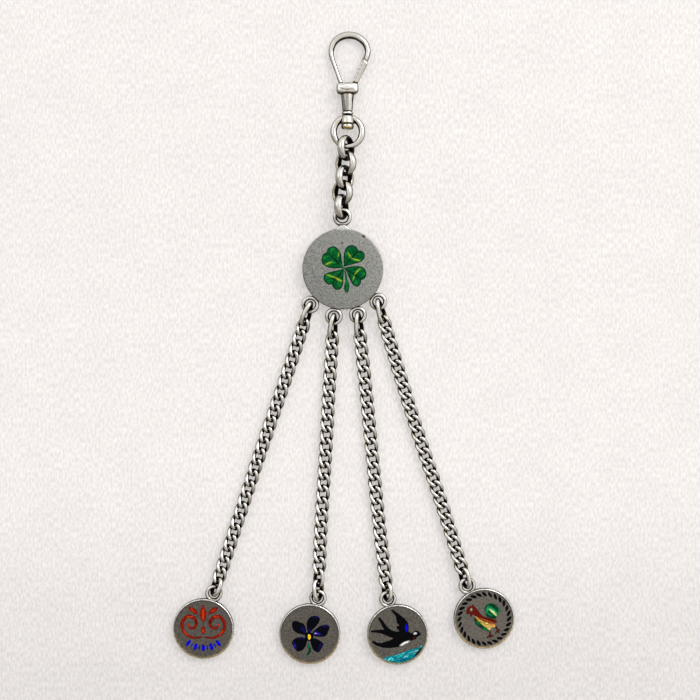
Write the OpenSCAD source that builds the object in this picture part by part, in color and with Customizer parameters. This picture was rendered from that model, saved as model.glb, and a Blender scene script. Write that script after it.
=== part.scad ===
// Watch fob lying flat on a surface: a swivel clip, a short chain of round links, a large charm with a
// clover, and four curb chains that fan out to four small enamelled charms. Sizes are in millimetres.
// X runs to the right, Y towards the clip and Z up. Z is zero on the surface, under the middle of the fob.

/* [Lie] */
// Air under the lowest points of the fob
ground = 0.02; // [0.01:0.01:0.05]
// Tilt of the large charm, with its top edge raised
charm_tilt = 1.4; // [1.2:0.1:1.6]
// Tilt of the small charms, with the lug edge raised
drop_tilt = 3.2; // [3:0.1:3.4]
// Tilt of the clip, with its bow lower than its eye
clip_tilt = 3.3; // [3.2:0.05:3.4]

/* [Large charm] */
// Diameter of the large charm
charm_d = 16.1; // [15.8:0.1:16.4]
// Thickness of the large charm
charm_t = 1.3; // [1.1:0.1:1.4]
// Distance of the four lower lugs from the middle of the charm
charm_lug_reach = 9.6; // [9.5:0.05:9.7]
// Outer diameter of the lower lugs
charm_lug_d = 3.55; // [3.5:0.05:3.6]
// Wire of the lower lugs
charm_lug_wire = 0.78; // [0.7:0.01:0.8]
// Outer diameter of the top lug
top_lug_d = 3.8; // [3.75:0.05:3.9]
// Wire of the top lug
top_lug_wire = 0.84; // [0.78:0.01:0.86]
// Height of the peaked ear above the charm's edge
ear_rise = 0.9; // [0.7:0.05:1]

/* [Small charms] */
// Diameter of a small charm
drop_d = 12.16; // [12:0.02:12.3]
// Thickness of a small charm
drop_t = 1.2; // [1.1:0.05:1.25]
// Distance of the lug from the middle of a small charm
drop_lug_reach = 7.4; // [7.35:0.01:7.5]
// Outer diameter of a small charm's lug
drop_lug_d = 3.5; // [3.45:0.05:3.55]
// Wire of a small charm's lug
drop_lug_wire = 0.75; // [0.7:0.01:0.78]

/* [Curb chains] */
// Wire of the curb links
curb_wire = 0.67; // [0.6:0.01:0.69]
// Width of a curb link between the middles of its wires
curb_width = 1.94; // [1.92:0.01:1.98]
// Lean of a curb link's strands at each end, in degrees
curb_lean = 50; // [49:1:51]
// Length of a curb link between its wires' middles, more than the step from link to link
curb_overlap = 0.9; // [0.88:0.01:0.92]
// Height of the middle of the chain above the surface
curb_rest = 0.8; // [0.8:0.01:0.82]

/* [Connecting links] */
// Wire of the eight connecting links
link_wire = 0.83; // [0.78:0.01:0.84]
// Width of the upper connecting links between the middles of their wires
hanger_width = 2.41; // [2.4:0.01:2.44]
// Distance from a lug of the large charm to the start of its curb chain
hanger_reach = 2.75; // [2.7:0.05:2.8]

/* [Upper chain] */
// Outer diameter of the round links
round_d = 5.2; // [5.1:0.02:5.3]
// Wire of the round links, across the ring
round_wire = 0.9; // [0.8:0.01:0.92]
// Wire of the round links, along the ring's axis
round_depth = 1.28; // [1.2:0.01:1.3]

/* [Swivel] */
// Outer diameter of the eye
eye_d = 6.96; // [6.8:0.02:7.1]
// Wire of the eye
eye_wire = 1.1; // [1:0.05:1.2]
// Diameter of the swivel pin
pin_d = 1.16; // [1.1:0.02:1.2]
// Clearance around the swivel pin in its bore
pin_clearance = 0.07; // [0.05:0.01:0.1]
// Diameter of the rivet head
head_d = 2.5; // [2.4:0.05:2.55]
// Diameter of the stop ring
stop_d = 2.2; // [2.1:0.05:2.4]
// Diameter of the shaft at the stop ring
shaft_lower_d = 2; // [1.9:0.05:2.1]
// Diameter of the shaft at the collar
shaft_upper_d = 2.6; // [2.4:0.05:2.6]

/* [Bow and lever] */
// Width of the collar that the bow and the lever stand in
collar_w = 4.4; // [4.3:0.05:4.5]
// Height of the collar along the clip
collar_h = 2.26; // [2.1:0.02:2.3]
// Thickness of the collar
collar_t = 2.6; // [2.4:0.05:2.6]
// Thickness of the lever, across the plane of the bow
lever_t = 0.9; // [0.8:0.05:0.95]
// Diameter of the lever's hinge pin
hinge_d = 0.5; // [0.4:0.02:0.52]
// Clearance around the hinge pin and on each side of the lever
hinge_clearance = 0.05; // [0.04:0.01:0.08]

/* [Enamel] */
// Depth of the enamel's recesses
enamel_depth = 0.2; // [0.15:0.01:0.25]
// Gap between the enamel and the walls of its recess
enamel_gap = 0.03; // [0.02:0.01:0.04]

/* [Hidden] */

$fn = 48;
SILVER = [0.78, 0.77, 0.75];
GREEN = [0.05, 0.42, 0.2];
RED = [0.55, 0.02, 0.02];
BLUE = [0.05, 0.05, 0.65];
VIOLET = [0.1, 0.05, 0.25];
YELLOW = [0.9, 0.75, 0.1];
BLACK = [0.05, 0.05, 0.07];
TEAL = [0.05, 0.55, 0.6];
GOLD = [0.8, 0.65, 0.3];
BROWN = [0.4, 0.08, 0.03];

// Places of the large charm, its top lug and the eye
charm_at = [-0.19, 15.73];
top_lug_at = [-0.264, 26.109];
eye_at = [0.81, 43.11];
// The large charm tilts about a line across it, at the height of the chains' lugs
tilt_line_y = 7.3;
tilt_line_z = 1.37;
charm_z = tilt_line_z + (charm_at.y - tilt_line_y) * sin(charm_tilt);
drop_z = ground + drop_t / 2 * cos(drop_tilt) + drop_d / 2 * sin(drop_tilt);
eye_z = 1.84;

// One row for each curb chain, from left to right. Columns: angle of its lug on the large charm, number of
// links, three places that it lies through, middle of its small charm, place that the charm's lug points
// to, row of DROP_LINKS for its lower connecting link, distance from the small lug to the chain
STRANDS = [
    [-132.5, 24, [[-12, -7.2], [-16.4, -20], [-20.1, -31.2]], [-28.03, -56.11], [-25.87, -48.75], 0, 1.8],
    [-100.7, 21, [[-2.9, -7.6], [-3.6, -20.4], [-4.5, -34.8]], [-6.79, -57.15], [-5.15, -49.97], 1, 2.1],
    [-71.7, 21, [[4.5, -9.2], [5.9, -23.6], [7.2, -36.4]], [10.75, -57.27], [8.75, -49.95], 0, 1.85],
    [-42.5, 23, [[11.3, -5.6], [15.3, -18.4], [19.6, -31.2]], [28.05, -54.07], [24.6, -47.4], 0, 2.2]
];

// Upper connecting link, seen along its chain with the charm above. Its ends lie to the right of the lug,
// above it and above the surface, and its strands lean by an angle.
// Columns: right, up from the lug, height, lean
HANGER_LUG_END = [0, 0.32, 1.635, 100];
HANGER_CHAIN_END = [-0.1, -4.14, 1.43, 129];

// Lower connecting links, with the right or the left strand high. Columns: end at the chain (right, up from
// the chain's end, height, lean), end at the lug (right, up from the lug, height, lean), width, height of
// the chain's end, links over which the chain sinks to its rest height, lean of the chain's last end
DROP_LINKS = [
    [[0.14, 1.33, 1.27, 50], [0, -0.21, 1.48, 58], 2.29, 1.2, 2.45, -50],
    [[-0.14, 1.37, 1.2, 139], [0, -0.3, 1.53, 115], 2.33, 1.15, 3.45, 34]
];
curb_top = 1.41;
curb_top_fade = 2.64;
curb_roundness = 2.3;
link_roundness = 2.4;

// Round links from the clip down. Columns: X, Y, lean from the surface, side that stands high
ROUND_LINKS = [
    [0.5, 39.78, 59, -1],
    [0.4, 36.8, 43, 1],
    [0.22, 33.85, 55, -1],
    [-0.265, 30.958, 43.6, 1],
    [-0.393, 28.076, 68, -1]
];

// Bow, from the collar round to its nose. Columns: X, Y from the eye, wire
BOW = [
    [-0.3, 9.2, 0.8],
    [-0.62, 9.95, 0.8],
    [-1.55, 12.6, 0.84],
    [-2.33, 14.9, 0.92],
    [-2.48, 16.5, 1.06],
    [-1.75, 18.25, 1.26],
    [-0.35, 19.25, 1.4],
    [1.15, 19.52, 1.45],
    [2.7, 19.2, 1.4],
    [4.1, 18.1, 1.28],
    [4.78, 16.6, 1.15],
    [4.72, 15.5, 1.1],
    [4.35, 14.62, 1.12]
];
// The nose is cut so that its inner side is the shorter one
nose_slant = -24;

// Spindle of the clip, along the clip from the eye. Columns: radius, place
SPINDLE = [
    [0, 0.52],
    [head_d / 2 - 0.3, 0.52],
    [head_d / 2 - 0.08, 0.68],
    [head_d / 2, 0.95],
    [head_d / 2, 1.36],
    [pin_d / 2, 1.36],
    [pin_d / 2, 3.5],
    [stop_d / 2, 3.5],
    [stop_d / 2, 3.88],
    [shaft_lower_d / 2 - 0.12, 3.88],
    [shaft_lower_d / 2 - 0.12, 4.12],
    [shaft_lower_d / 2, 4.12],
    [shaft_upper_d / 2, 7.8],
    [0, 7.8]
];
spindle_x = 0.75 - eye_at.x;
collar_y = 8.69;
hinge_x = 1.95 - eye_at.x;
hinge_y = 9.12;
// Lever seen from above, from its root up the inner side to the nose and down the outer side
LEVER = [
    [1.58, 9.1],
    [1.72, 9.95],
    [3.82, 14.94],
    [4.74, 13.96],
    [4.72, 13.6],
    [2.9, 9.95],
    [2.32, 8.9]
];

function unit(v) = v / norm(v);
function ease(t) = t * t * (3 - 2 * t);
function swell(v, roundness) = sign(v) * pow(abs(v), 2 / roundness);
function total(list) = list * [for (item = list) 1];
function average(points) = [for (axis = [0 : len(points[0]) - 1]) total([for (p = points) p[axis]]) / len(points)];

// Point between q and r of the smooth curve through p, q, r and s
function spline_point(p, q, r, s, t) =
    q + t / 2 * ((r - p) + t * ((2 * p - 5 * q + 4 * r - s) + t * (3 * q - p - 3 * r + s)));

// Smooth curve through all the points, from the first to the last
function open_curve(points, steps) =
    let (
        last = len(points) - 1,
        more = concat([2 * points[0] - points[1]], points, [2 * points[last] - points[last - 1]])
    )
    concat(
        [for (i = [0 : last - 1], k = [0 : steps - 1])
            spline_point(more[i], more[i + 1], more[i + 2], more[i + 3], k / steps)],
        [points[last]]
    );

// Smooth loop through all the points
function closed_curve(points, steps) =
    let (n = len(points))
    [for (i = [0 : n - 1], k = [0 : steps - 1])
        spline_point(points[(i + n - 1) % n], points[i], points[(i + 1) % n], points[(i + 2) % n], k / steps)];

// Loop drawn in by a distance, for points that run anticlockwise. A sharp corner moves no further than
// the sharpness limit allows.
function inset(loop, distance) =
    let (n = len(loop), limit = 0.3)
    [for (i = [0 : n - 1])
        let (
            before = unit(loop[i] - loop[(i + n - 1) % n]),
            after = unit(loop[(i + 1) % n] - loop[i]),
            both = [-before.y - after.y, before.x + after.x]
        )
        loop[i] + distance * both / max(limit, 1 + before * after)];

// Outline of a stroke along a curve that swells from one end's width to the middle's and back
function stroke(points, ends, middle, steps = 4) =
    let (
        path = open_curve(points, steps),
        last = len(path) - 1,
        half = [for (i = [0 : last]) (ends + (middle - ends) * sin(180 * i / last)) / 2],
        way = [for (i = [0 : last]) unit(path[min(i + 1, last)] - path[max(i - 1, 0)])]
    )
    concat(
        [for (i = [0 : last]) path[i] + half[i] * [way[i].y, -way[i].x]],
        [for (i = [last : -1 : 0]) path[i] + half[i] * [-way[i].y, way[i].x]]
    );

// Distance run from the start of a path to each of its points
function distances(path) =
    [for (i = 0, run = 0; i < len(path); run = run + norm(path[min(i + 1, len(path) - 1)] - path[i]), i = i + 1)
        run];

// Point at a distance along a path
function point_at(path, runs, run) =
    [for (axis = [0, 1]) lookup(run, [for (i = [0 : len(path) - 1]) [runs[i], path[i][axis]]])];

// Loop of wire as a twisted oval between two end points. The strands lean by one angle at the first end
// and by another at the second, measured from the right when one looks towards the first end.
function twisted_oval(first, second, width, first_lean, second_lean, roundness, steps) =
    let (
        middle = (first + second) / 2,
        half = norm(first - second) / 2,
        along = unit(first - second),
        right = unit(cross(along, [0, 0, 1])),
        high = cross(right, along)
    )
    [for (k = [0 : steps - 1])
        let (
            run = swell(cos(360 * k / steps), roundness),
            side = width / 2 * swell(sin(360 * k / steps), roundness),
            lean = (first_lean + second_lean) / 2 + (first_lean - second_lean) / 2 * run
        )
        middle + half * run * along + side * cos(lean) * right + side * sin(lean) * high];

// Wire with a polygon for its section, swept round a closed loop of points
module wire_loop(path, wire, sides) {
    n = len(path);
    middle = average(path);
    points = [
        for (i = [0 : n - 1], j = [0 : sides - 1])
            let (
                along = unit(path[(i + 1) % n] - path[(i + n - 1) % n]),
                out = path[i] - middle,
                radial = unit(out - (out * along) * along),
                across = cross(along, radial),
                turn = 360 * j / sides
            )
            path[i] + wire / 2 * (cos(turn) * radial + sin(turn) * across)
    ];
    faces = [
        for (i = [0 : n - 1], j = [0 : sides - 1])
            let (
                a = i * sides + j,
                b = i * sides + (j + 1) % sides,
                c = ((i + 1) % n) * sides + (j + 1) % sides,
                d = ((i + 1) % n) * sides + j
            )
            each [[a, c, b], [a, d, c]]
    ];
    polyhedron(points, faces);
}

// Wire of varying thickness swept along a flat curve of [x, y, wire] rows, with a slanted last face
module tapered_rod(rows, sides, slant) {
    last = len(rows) - 1;
    points = [
        for (i = [0 : last], j = [0 : sides - 1])
            let (
                step = rows[min(i + 1, last)] - rows[max(i - 1, 0)],
                along = unit([step.x, step.y, 0]),
                right = [along.y, -along.x, 0],
                turn = 360 * (j + 0.5) / sides,
                lean = i == last ? tan(slant) : 0
            )
            [rows[i].x, rows[i].y, 0]
                + rows[i].z / 2 * (cos(turn) * (right + lean * along) + [0, 0, sin(turn)])
    ];
    walls = [
        for (i = [0 : last - 1], j = [0 : sides - 1])
            let (
                a = i * sides + j,
                b = i * sides + (j + 1) % sides,
                c = (i + 1) * sides + (j + 1) % sides,
                d = (i + 1) * sides + j
            )
            each [[a, b, c], [a, c, d]]
    ];
    ends = [
        for (j = [1 : sides - 2])
            each [[0, j + 1, j], [last * sides, last * sides + j, last * sides + j + 1]]
    ];
    polyhedron(points, concat(walls, ends));
}

module round_ring(outer_d, wire) {
    rotate_extrude()
        translate([(outer_d - wire) / 2, 0])
            circle(d = wire);
}

// Disc with its edges broken, centred on its middle
module blank(d, t) {
    broken = 0.15;
    rotate_extrude()
        polygon([
            [0, -t / 2],
            [d / 2 - broken, -t / 2],
            [d / 2, -t / 2 + broken],
            [d / 2, t / 2 - broken],
            [d / 2 - broken, t / 2],
            [0, t / 2]
        ]);
}

module clip_place() {
    translate([eye_at.x, eye_at.y, eye_z])
        rotate([-clip_tilt, 0, 0])
            children();
}

// Turns a revolved shape's axis to run along the clip
module along_clip() {
    translate([spindle_x, 0, 0])
        rotate([-90, 0, 0])
            children();
}

// Rectangle with full, rounded corners
function cushion(w, h, fullness, steps) =
    [for (k = [0 : steps - 1])
        [w / 2 * swell(cos(360 * (k + 0.5) / steps), fullness), h / 2 * swell(sin(360 * (k + 0.5) / steps), fullness)]];

// Block that is rounded both from above and from its end
module collar() {
    fullness = 4;
    steps = 20;
    intersection() {
        linear_extrude(2 * collar_t, center = true)
            polygon(cushion(collar_w, collar_h, fullness, steps));
        rotate([0, 90, 0])
            linear_extrude(2 * collar_w, center = true)
                polygon(cushion(collar_t, collar_h, fullness, steps));
        rotate([90, 0, 0])
            linear_extrude(2 * collar_h, center = true)
                polygon(cushion(collar_w, collar_t, fullness, steps));
    }
    // Oval plaque on the upper side, a little nearer to the bow
    plaque_l = 3.4;
    plaque_w = 1.3;
    plaque_at = [-0.06, 0.14];
    plaque_rise = 0.22;
    crown_d = 2 * plaque_l;
    intersection() {
        translate([plaque_at.x, plaque_at.y, 0])
            linear_extrude(collar_t)
                polygon([for (a = [0 : 15 : 345]) [plaque_l / 2 * cos(a), plaque_w / 2 * sin(a)]]);
        translate([0, 0, collar_t / 2 + plaque_rise - crown_d / 2])
            rotate([90, 0, 0])
                cylinder(d = crown_d, h = collar_h, center = true);
    }
}

module clip_hook() {
    slot_w = lever_t + 2 * hinge_clearance;
    slot_left = hinge_x - 0.95;
    slot_floor = hinge_y - 0.6;
    pin_l = 1.8;
    color(SILVER)
        clip_place() {
            difference() {
                union() {
                    tapered_rod([for (row = open_curve(BOW, 2)) row - [eye_at.x, 0, 0]], 8, nose_slant);
                    translate([spindle_x, collar_y, 0])
                        collar();
                    along_clip()
                        rotate_extrude()
                            polygon(SPINDLE);
                }
                translate([slot_left, slot_floor, -slot_w / 2])
                    cube([collar_w, collar_h, slot_w]);
            }
            translate([hinge_x, hinge_y, 0])
                cylinder(d = hinge_d, h = pin_l, center = true);
        }
}

module clip_lever() {
    root_d = 0.86;
    color(SILVER)
        clip_place()
            difference() {
                union() {
                    linear_extrude(lever_t, center = true)
                        polygon([for (p = LEVER) p - [eye_at.x, 0]]);
                    translate([hinge_x, hinge_y, 0])
                        cylinder(d = root_d, h = lever_t, center = true);
                }
                translate([hinge_x, hinge_y, 0])
                    cylinder(d = hinge_d + 2 * hinge_clearance, h = 2 * lever_t, center = true);
            }
}

module swivel_eye() {
    boss_low = 1.58;
    boss_high = 3.14;
    boss_low_d = 2.75;
    boss_high_d = 2.2;
    color(SILVER)
        clip_place()
            difference() {
                union() {
                    round_ring(eye_d, eye_wire);
                    along_clip()
                        translate([0, 0, boss_low])
                            cylinder(d1 = boss_low_d, d2 = boss_high_d, h = boss_high - boss_low);
                }
                along_clip()
                    translate([0, 0, boss_low - 1])
                        cylinder(d = pin_d + 2 * pin_clearance, h = boss_high - boss_low + 2);
            }
}

module upper_link(n) {
    row = ROUND_LINKS[n - 1];
    lean = row[2];
    ring_r = (round_d - round_wire) / 2;
    low_side = norm([round_wire / 2 * sin(lean), round_depth / 2 * cos(lean)]);
    color(SILVER)
        translate([row[0], row[1], ground + low_side + ring_r * sin(lean)])
            rotate([0, -row[3] * lean, 0])
                rotate_extrude()
                    polygon([for (a = [0 : 15 : 345])
                        [ring_r + round_wire / 2 * cos(a), round_depth / 2 * sin(a)]]);
}

// Middle of one of the large charm's lower lugs, seen from above
function charm_lug(angle) = charm_at + charm_lug_reach * [cos(angle), sin(angle)];

module charm_place() {
    translate([charm_at.x, charm_at.y, charm_z])
        rotate([charm_tilt, 0, 0])
            children();
}

module main_disc() {
    ear = [
        [-3.2, 7.2],
        [-2.1, 7.85],
        [-1.2, 8.3],
        [-0.5, charm_d / 2 + ear_rise],
        [0.5, charm_d / 2 + ear_rise],
        [1.2, 8.3],
        [2.1, 7.85],
        [3.2, 7.2]
    ];
    ear_t = charm_t - 0.2;
    color(SILVER)
        charm_place()
            difference() {
                union() {
                    blank(charm_d, charm_t);
                    for (row = STRANDS)
                        rotate([0, 0, row[0]])
                            translate([charm_lug_reach, 0, 0])
                                round_ring(charm_lug_d, charm_lug_wire);
                    translate(top_lug_at - charm_at)
                        round_ring(top_lug_d, top_lug_wire);
                    linear_extrude(ear_t, center = true)
                        polygon(ear);
                }
                recess(charm_t)
                    clover(0);
            }
}

// Cuts a recess for a flat pattern into the upper face of a blank
module recess(t) {
    translate([0, 0, t / 2 - enamel_depth])
        linear_extrude(2 * enamel_depth)
            children();
}

// Fills a recess with enamel, flush with the face
module inlay(t) {
    air = 0.01;
    translate([0, 0, t / 2 - enamel_depth + air])
        linear_extrude(enamel_depth - air)
            children();
}

// Patterns are drawn in by a gap, so that one outline gives the recess and the enamel in it.
module patch(loop, gap) {
    polygon(inset(loop, gap));
}

// Heart-shaped leaves of the clover, each from its root at the middle
LEAVES = [
    [
        [0.02, 0.3], [-0.26, 2], [-0.45, 3.2], [-0.95, 3.95], [-1.45, 4.4], [-2.1, 4.5], [-2.8, 4.2], [-3.1, 3.8],
        [-3.15, 3.35], [-3.75, 3.05], [-4.1, 2.4], [-4.2, 1.8], [-3.95, 1.05], [-3.3, 0.55], [-2.45, 0.26],
        [-1.3, 0.2], [-0.3, 0.2]
    ],
    [
        [0.26, 0.5], [1.4, 0.84], [2.4, 1.1], [3.4, 1.4], [4.1, 1.9], [4.35, 2.6], [4.2, 3.2], [3.75, 3.65],
        [3.1, 3.72], [2.7, 4.35], [2, 4.7], [1.2, 4.6], [0.62, 4.05], [0.3, 3.2], [0.2, 2], [0.2, 1.1]
    ],
    [
        [0.42, 0.12], [0.72, -0.38], [1.1, -1.3], [1.55, -2.25], [2.1, -3.1], [2.7, -3.45], [3.2, -3.3],
        [3.6, -2.8], [3.65, -2.2], [4.2, -2], [4.55, -1.5], [4.65, -0.8], [4.4, -0.05], [3.8, 0.42],
        [2.75, 0.55], [1.6, 0.48], [0.8, 0.34]
    ],
    [
        [0.13, -0.04], [-0.75, -0.2], [-1.9, -0.5], [-3, -0.77], [-3.65, -1.15], [-3.8, -1.9], [-3.45, -2.65],
        [-2.8, -3.1], [-2.2, -3.02], [-1.95, -3.65], [-1.5, -4], [-0.85, -4.1], [-0.25, -3.65], [0.02, -2.85],
        [0.1, -1.9], [0.17, -0.7]
    ]
];
// Stem, thin at the top and drop-shaped below
STEM = [
    [0.36, -0.3], [0.42, -0.9], [0.5, -1.6], [0.58, -2.3], [0.5, -2.9], [0.34, -3.5], [0.4, -4.15], [0.75, -4.65],
    [1.05, -4.3], [1.22, -3.6], [1.14, -2.9], [0.92, -2.3], [0.76, -1.6], [0.66, -0.9], [0.56, -0.35]
];

module clover(gap) {
    for (leaf = LEAVES)
        patch(closed_curve(leaf, 2), gap);
    patch(closed_curve(STEM, 2), gap);
}

module clover_enamel() {
    color(GREEN)
        charm_place()
            inlay(charm_t)
                clover(enamel_gap);
}

// Path of a curb chain, from its upper connecting link to its lower one
function strand_path(row) =
    let (
        upper = charm_lug(row[0]),
        lower = drop_lug(row)
    )
    open_curve(concat(
        [upper + hanger_reach * unit(row[2][0] - upper)],
        row[2],
        [lower + row[6] * unit(row[2][2] - lower)]
    ), 20);

module curb_chain(n) {
    row = STRANDS[n - 1];
    link_end = DROP_LINKS[row[5]];
    path = strand_path(row);
    runs = distances(path);
    run_all = runs[len(runs) - 1];
    count = row[1];
    step = (run_all - curb_overlap - curb_wire) / count;
    rise = curb_top - curb_rest;
    fall = link_end[3] - curb_rest;
    // Middle of the wire at a distance along the chain
    function seat(run) =
        let (
            near_top = ease(max(0, 1 - run / curb_top_fade / step)),
            near_bottom = ease(max(0, 1 - (run_all - run) / link_end[4] / step)),
            place = point_at(path, runs, run)
        )
        [place.x, place.y, curb_rest + rise * near_top + fall * near_bottom];
    color(SILVER)
        for (k = [0 : count - 1]) {
            run = k * step + curb_wire / 2;
            last_lean = k == count - 1 ? link_end[5] : -curb_lean;
            loop = twisted_oval(
                seat(run), seat(run + step + curb_overlap), curb_width, curb_lean, last_lean, curb_roundness, 12
            );
            wire_loop(loop, curb_wire, 5);
        }
}

// Point beside a lug, to the right of a direction and along it, at a height
function beside(lug, along, right, up, height) =
    [lug.x + along.y * right + along.x * up, lug.y - along.x * right + along.y * up, height];

module hanger_link(n) {
    row = STRANDS[n - 1];
    lug = charm_lug(row[0]);
    along = unit(lug - row[2][0]);
    a = HANGER_LUG_END;
    b = HANGER_CHAIN_END;
    loop = twisted_oval(
        beside(lug, along, a[0], a[1], a[2]), beside(lug, along, b[0], b[1], b[2]),
        hanger_width, a[3], b[3], link_roundness, 14
    );
    color(SILVER)
        wire_loop(loop, link_wire, 6);
}

// Middle of a small charm's lug, seen from above
function drop_lug(row) = row[3] + drop_lug_reach * cos(drop_tilt) * unit(row[4] - row[3]);

module drop_link(n) {
    row = STRANDS[n - 1];
    lug = drop_lug(row);
    along = unit(row[2][2] - lug);
    shape = DROP_LINKS[row[5]];
    a = shape[0];
    b = shape[1];
    loop = twisted_oval(
        beside(lug, along, a[0], row[6] + a[1], a[2]), beside(lug, along, b[0], b[1], b[2]),
        shape[2], a[3], b[3], link_roundness, 14
    );
    color(SILVER)
        wire_loop(loop, link_wire, 6);
}

// Puts a small charm in its place, with its pattern upright and its lug edge raised
module drop_place(n) {
    row = STRANDS[n - 1];
    toward = row[4] - row[3];
    heading = atan2(toward.y, toward.x);
    translate([row[3].x, row[3].y, drop_z])
        rotate([0, 0, heading])
            rotate([0, -drop_tilt, 0])
                rotate([0, 0, -heading])
                    children();
}

module drop_disc(n) {
    row = STRANDS[n - 1];
    toward = unit(row[4] - row[3]);
    color(SILVER)
        drop_place(n)
            difference() {
                union() {
                    blank(drop_d, drop_t);
                    translate(drop_lug_reach * toward)
                        round_ring(drop_lug_d, drop_lug_wire);
                }
                recess(drop_t)
                    drop_pattern(n);
            }
}

// All the patterns of one small charm
module drop_pattern(n) {
    if (n == 1) {
        scrolls(0);
        spray(0);
    }
    if (n == 2) {
        petals(0);
        flower_eye(0);
        flower_stem(0);
    }
    if (n == 3) {
        swallow(0);
        wave(0);
    }
    if (n == 4) {
        rooster_body(0);
        rooster_breast(0);
        rooster_belly(0);
        rooster_tail(0);
        rooster_legs(0);
        wreath(0);
    }
}

module drop_enamel(n, tint) {
    color(tint)
        drop_place(n)
            inlay(drop_t)
                children();
}

// Ellipse with its length along X, as a leaf
function leaf_outline(l, w, steps) = [for (k = [0 : steps - 1]) [l / 2 * cos(360 * k / steps), w / 2 * sin(360 * k / steps)]];

// Outline on the other side of the Y axis
function mirrored(outline) = [for (i = [len(outline) - 1 : -1 : 0]) [-outline[i].x, outline[i].y]];

// Right one of a pair of volutes, and the leaf above it
VOLUTE = [
    [0.15, -1.5], [1.5, -1.75], [3, -1.35], [4.05, -0.2], [4.2, 1.3], [3.3, 2.5], [2, 2.35], [1.35, 1.3], [1.8, 0.3],
    [2.75, 0.3], [3.05, 1.1]
];
VOLUTE_LEAF = [[1, 2.95], [1.8, 3.15], [2.5, 3.6], [3, 4.4], [2.1, 4.35], [1.4, 3.9]];
BUD = [[0, 1.35], [0.5, 2.2], [0.72, 3.2], [0.4, 4.2], [0, 5], [-0.4, 4.2], [-0.72, 3.2], [-0.5, 2.2]];
DROP = [[0, 0.75], [-0.42, -0.1], [-0.3, -0.8], [0, -1.15], [0.3, -0.8], [0.42, -0.1]];

module scrolls(gap) {
    for (side = [1, -1])
        patch(stroke([for (p = VOLUTE) [side * p.x, p.y]], 0.3, 0.75, 3), gap);
    for (outline = [VOLUTE_LEAF, mirrored(VOLUTE_LEAF), BUD, DROP])
        patch(closed_curve(outline, 3), gap);
}

// Fan of leaves along the lower edge of the charm, large and small in turn
module spray(gap) {
    fan_y = 1.3;
    fan_r = 5.1;
    step = 9;
    for (k = [-4 : 4])
        translate([fan_r * sin(k * step), fan_y - fan_r * cos(k * step)])
            rotate(k * step - 90)
                patch(k % 2 == 0 ? leaf_outline(1.5, 0.72, 12) : leaf_outline(1.1, 0.34, 12), gap);
}

PETALS = [
    [
        [-0.26, 0.4], [0.14, 0.46], [0.63, 1], [1.32, 1.64], [1.85, 2.4], [2.04, 3.15], [1.6, 3.7], [0.75, 3.77],
        [-0.1, 3.37], [-0.53, 2.63], [-0.6, 1.7], [-0.48, 0.8]
    ],
    [
        [0.42, -0.08], [0.84, -0.32], [1.7, -0.48], [2.75, -0.48], [3.45, -0.1], [3.7, 0.6], [4.04, 1.35],
        [3.85, 1.75], [3.15, 1.98], [2.1, 1.72], [1.16, 1.05], [0.42, 0.27]
    ],
    [
        [0.3, -0.95], [0.14, -1.35], [0.23, -1.9], [0.52, -2.75], [0.95, -3.38], [1.6, -3.65], [2.1, -3.38],
        [2.44, -2.7], [2.74, -2], [2.53, -1.6], [1.9, -1.17], [1.16, -0.8], [0.55, -0.8]
    ],
    [
        [-0.55, -0.9], [-1.44, -0.53], [-2.5, -0.64], [-3.25, -1.06], [-3.52, -1.7], [-3.27, -2.47],
        [-2.74, -3.27], [-2.22, -3.48], [-1.48, -3.23], [-0.85, -2.5], [-0.56, -1.7], [-0.45, -1.2]
    ],
    [
        [-0.74, -0.08], [-0.68, 0.73], [-0.87, 1.57], [-1.23, 2.2], [-2, 2.44], [-2.74, 2.73], [-3.38, 2.52],
        [-3.59, 1.9], [-3.38, 1], [-2.74, 0.35], [-1.75, 0.04]
    ]
];

module petals(gap) {
    for (outline = PETALS)
        patch(closed_curve(outline, 2), gap);
}

module flower_eye(gap) {
    patch(closed_curve([
        [-0.38, -0.22], [-0.36, -0.75], [-0.12, -1.12], [0.12, -0.9], [0.26, -0.5], [0.08, -0.12], [-0.2, 0.04]
    ], 2), gap);
}

module flower_stem(gap) {
    patch(stroke([[-0.2, -1.75], [-0.28, -2.4], [0.02, -2.95], [-0.02, -3.5], [-0.4, -4], [-0.68, -4.5]], 0.22, 0.5),
        gap);
}

// Swallow in flight, from the tip of its upper wing round by the head and the tail
SWALLOW = [
    [-0.65, 4.45], [-0.2, 3.55], [-0.1, 2.7], [0.45, 1.85], [-0.2, 1.5], [0.5, 0.7], [-0.2, 0.6],
    [-1.15, 0.85], [-1.95, 1.4], [-2.5, 2.15], [-3.25, 3.15], [-3.75, 3.5], [-3.5, 2.7], [-3.05, 1.7],
    [-2.5, 1.05], [-3.4, 1.05], [-4.35, 0.9], [-5.2, 0.75], [-4.35, 0.6], [-3.4, 0.4], [-1.6, -0.3],
    [-0.65, -0.65], [-1.6, -1.2], [-2.5, -1.4], [-3.25, -1.7], [-4.05, -1.65], [-4.9, -1.35],
    [-4.35, -2], [-2.95, -2.5], [-1.6, -2.6], [0.05, -2.35], [1.45, -1.6], [2.9, -1], [3.55, -0.8],
    [3.9, -0.3], [4.6, 0.1], [4.1, 0.7], [3.55, 0.85], [2.9, 0.3], [2.1, 0.6], [2.15, 1.6], [1.95, 2.45],
    [1.45, 3.15], [0.8, 3.7], [-0.3, 4.45], [-1.1, 5]
];

module swallow(gap) {
    patch(SWALLOW, gap);
}

// Sea along the lower edge of the charm
module wave(gap) {
    rim_r = drop_d / 2 - 0.42;
    crest = [[4.9, -2.1], [3.85, -2.5], [2.6, -2.95], [1.3, -3.42], [0.05, -3.85], [-1.2, -4.25], [-2.3, -4.6]];
    rim = [for (a = [236 : 10 : 336]) rim_r * [cos(a), sin(a)]];
    patch(concat(rim, crest), gap);
}

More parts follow.
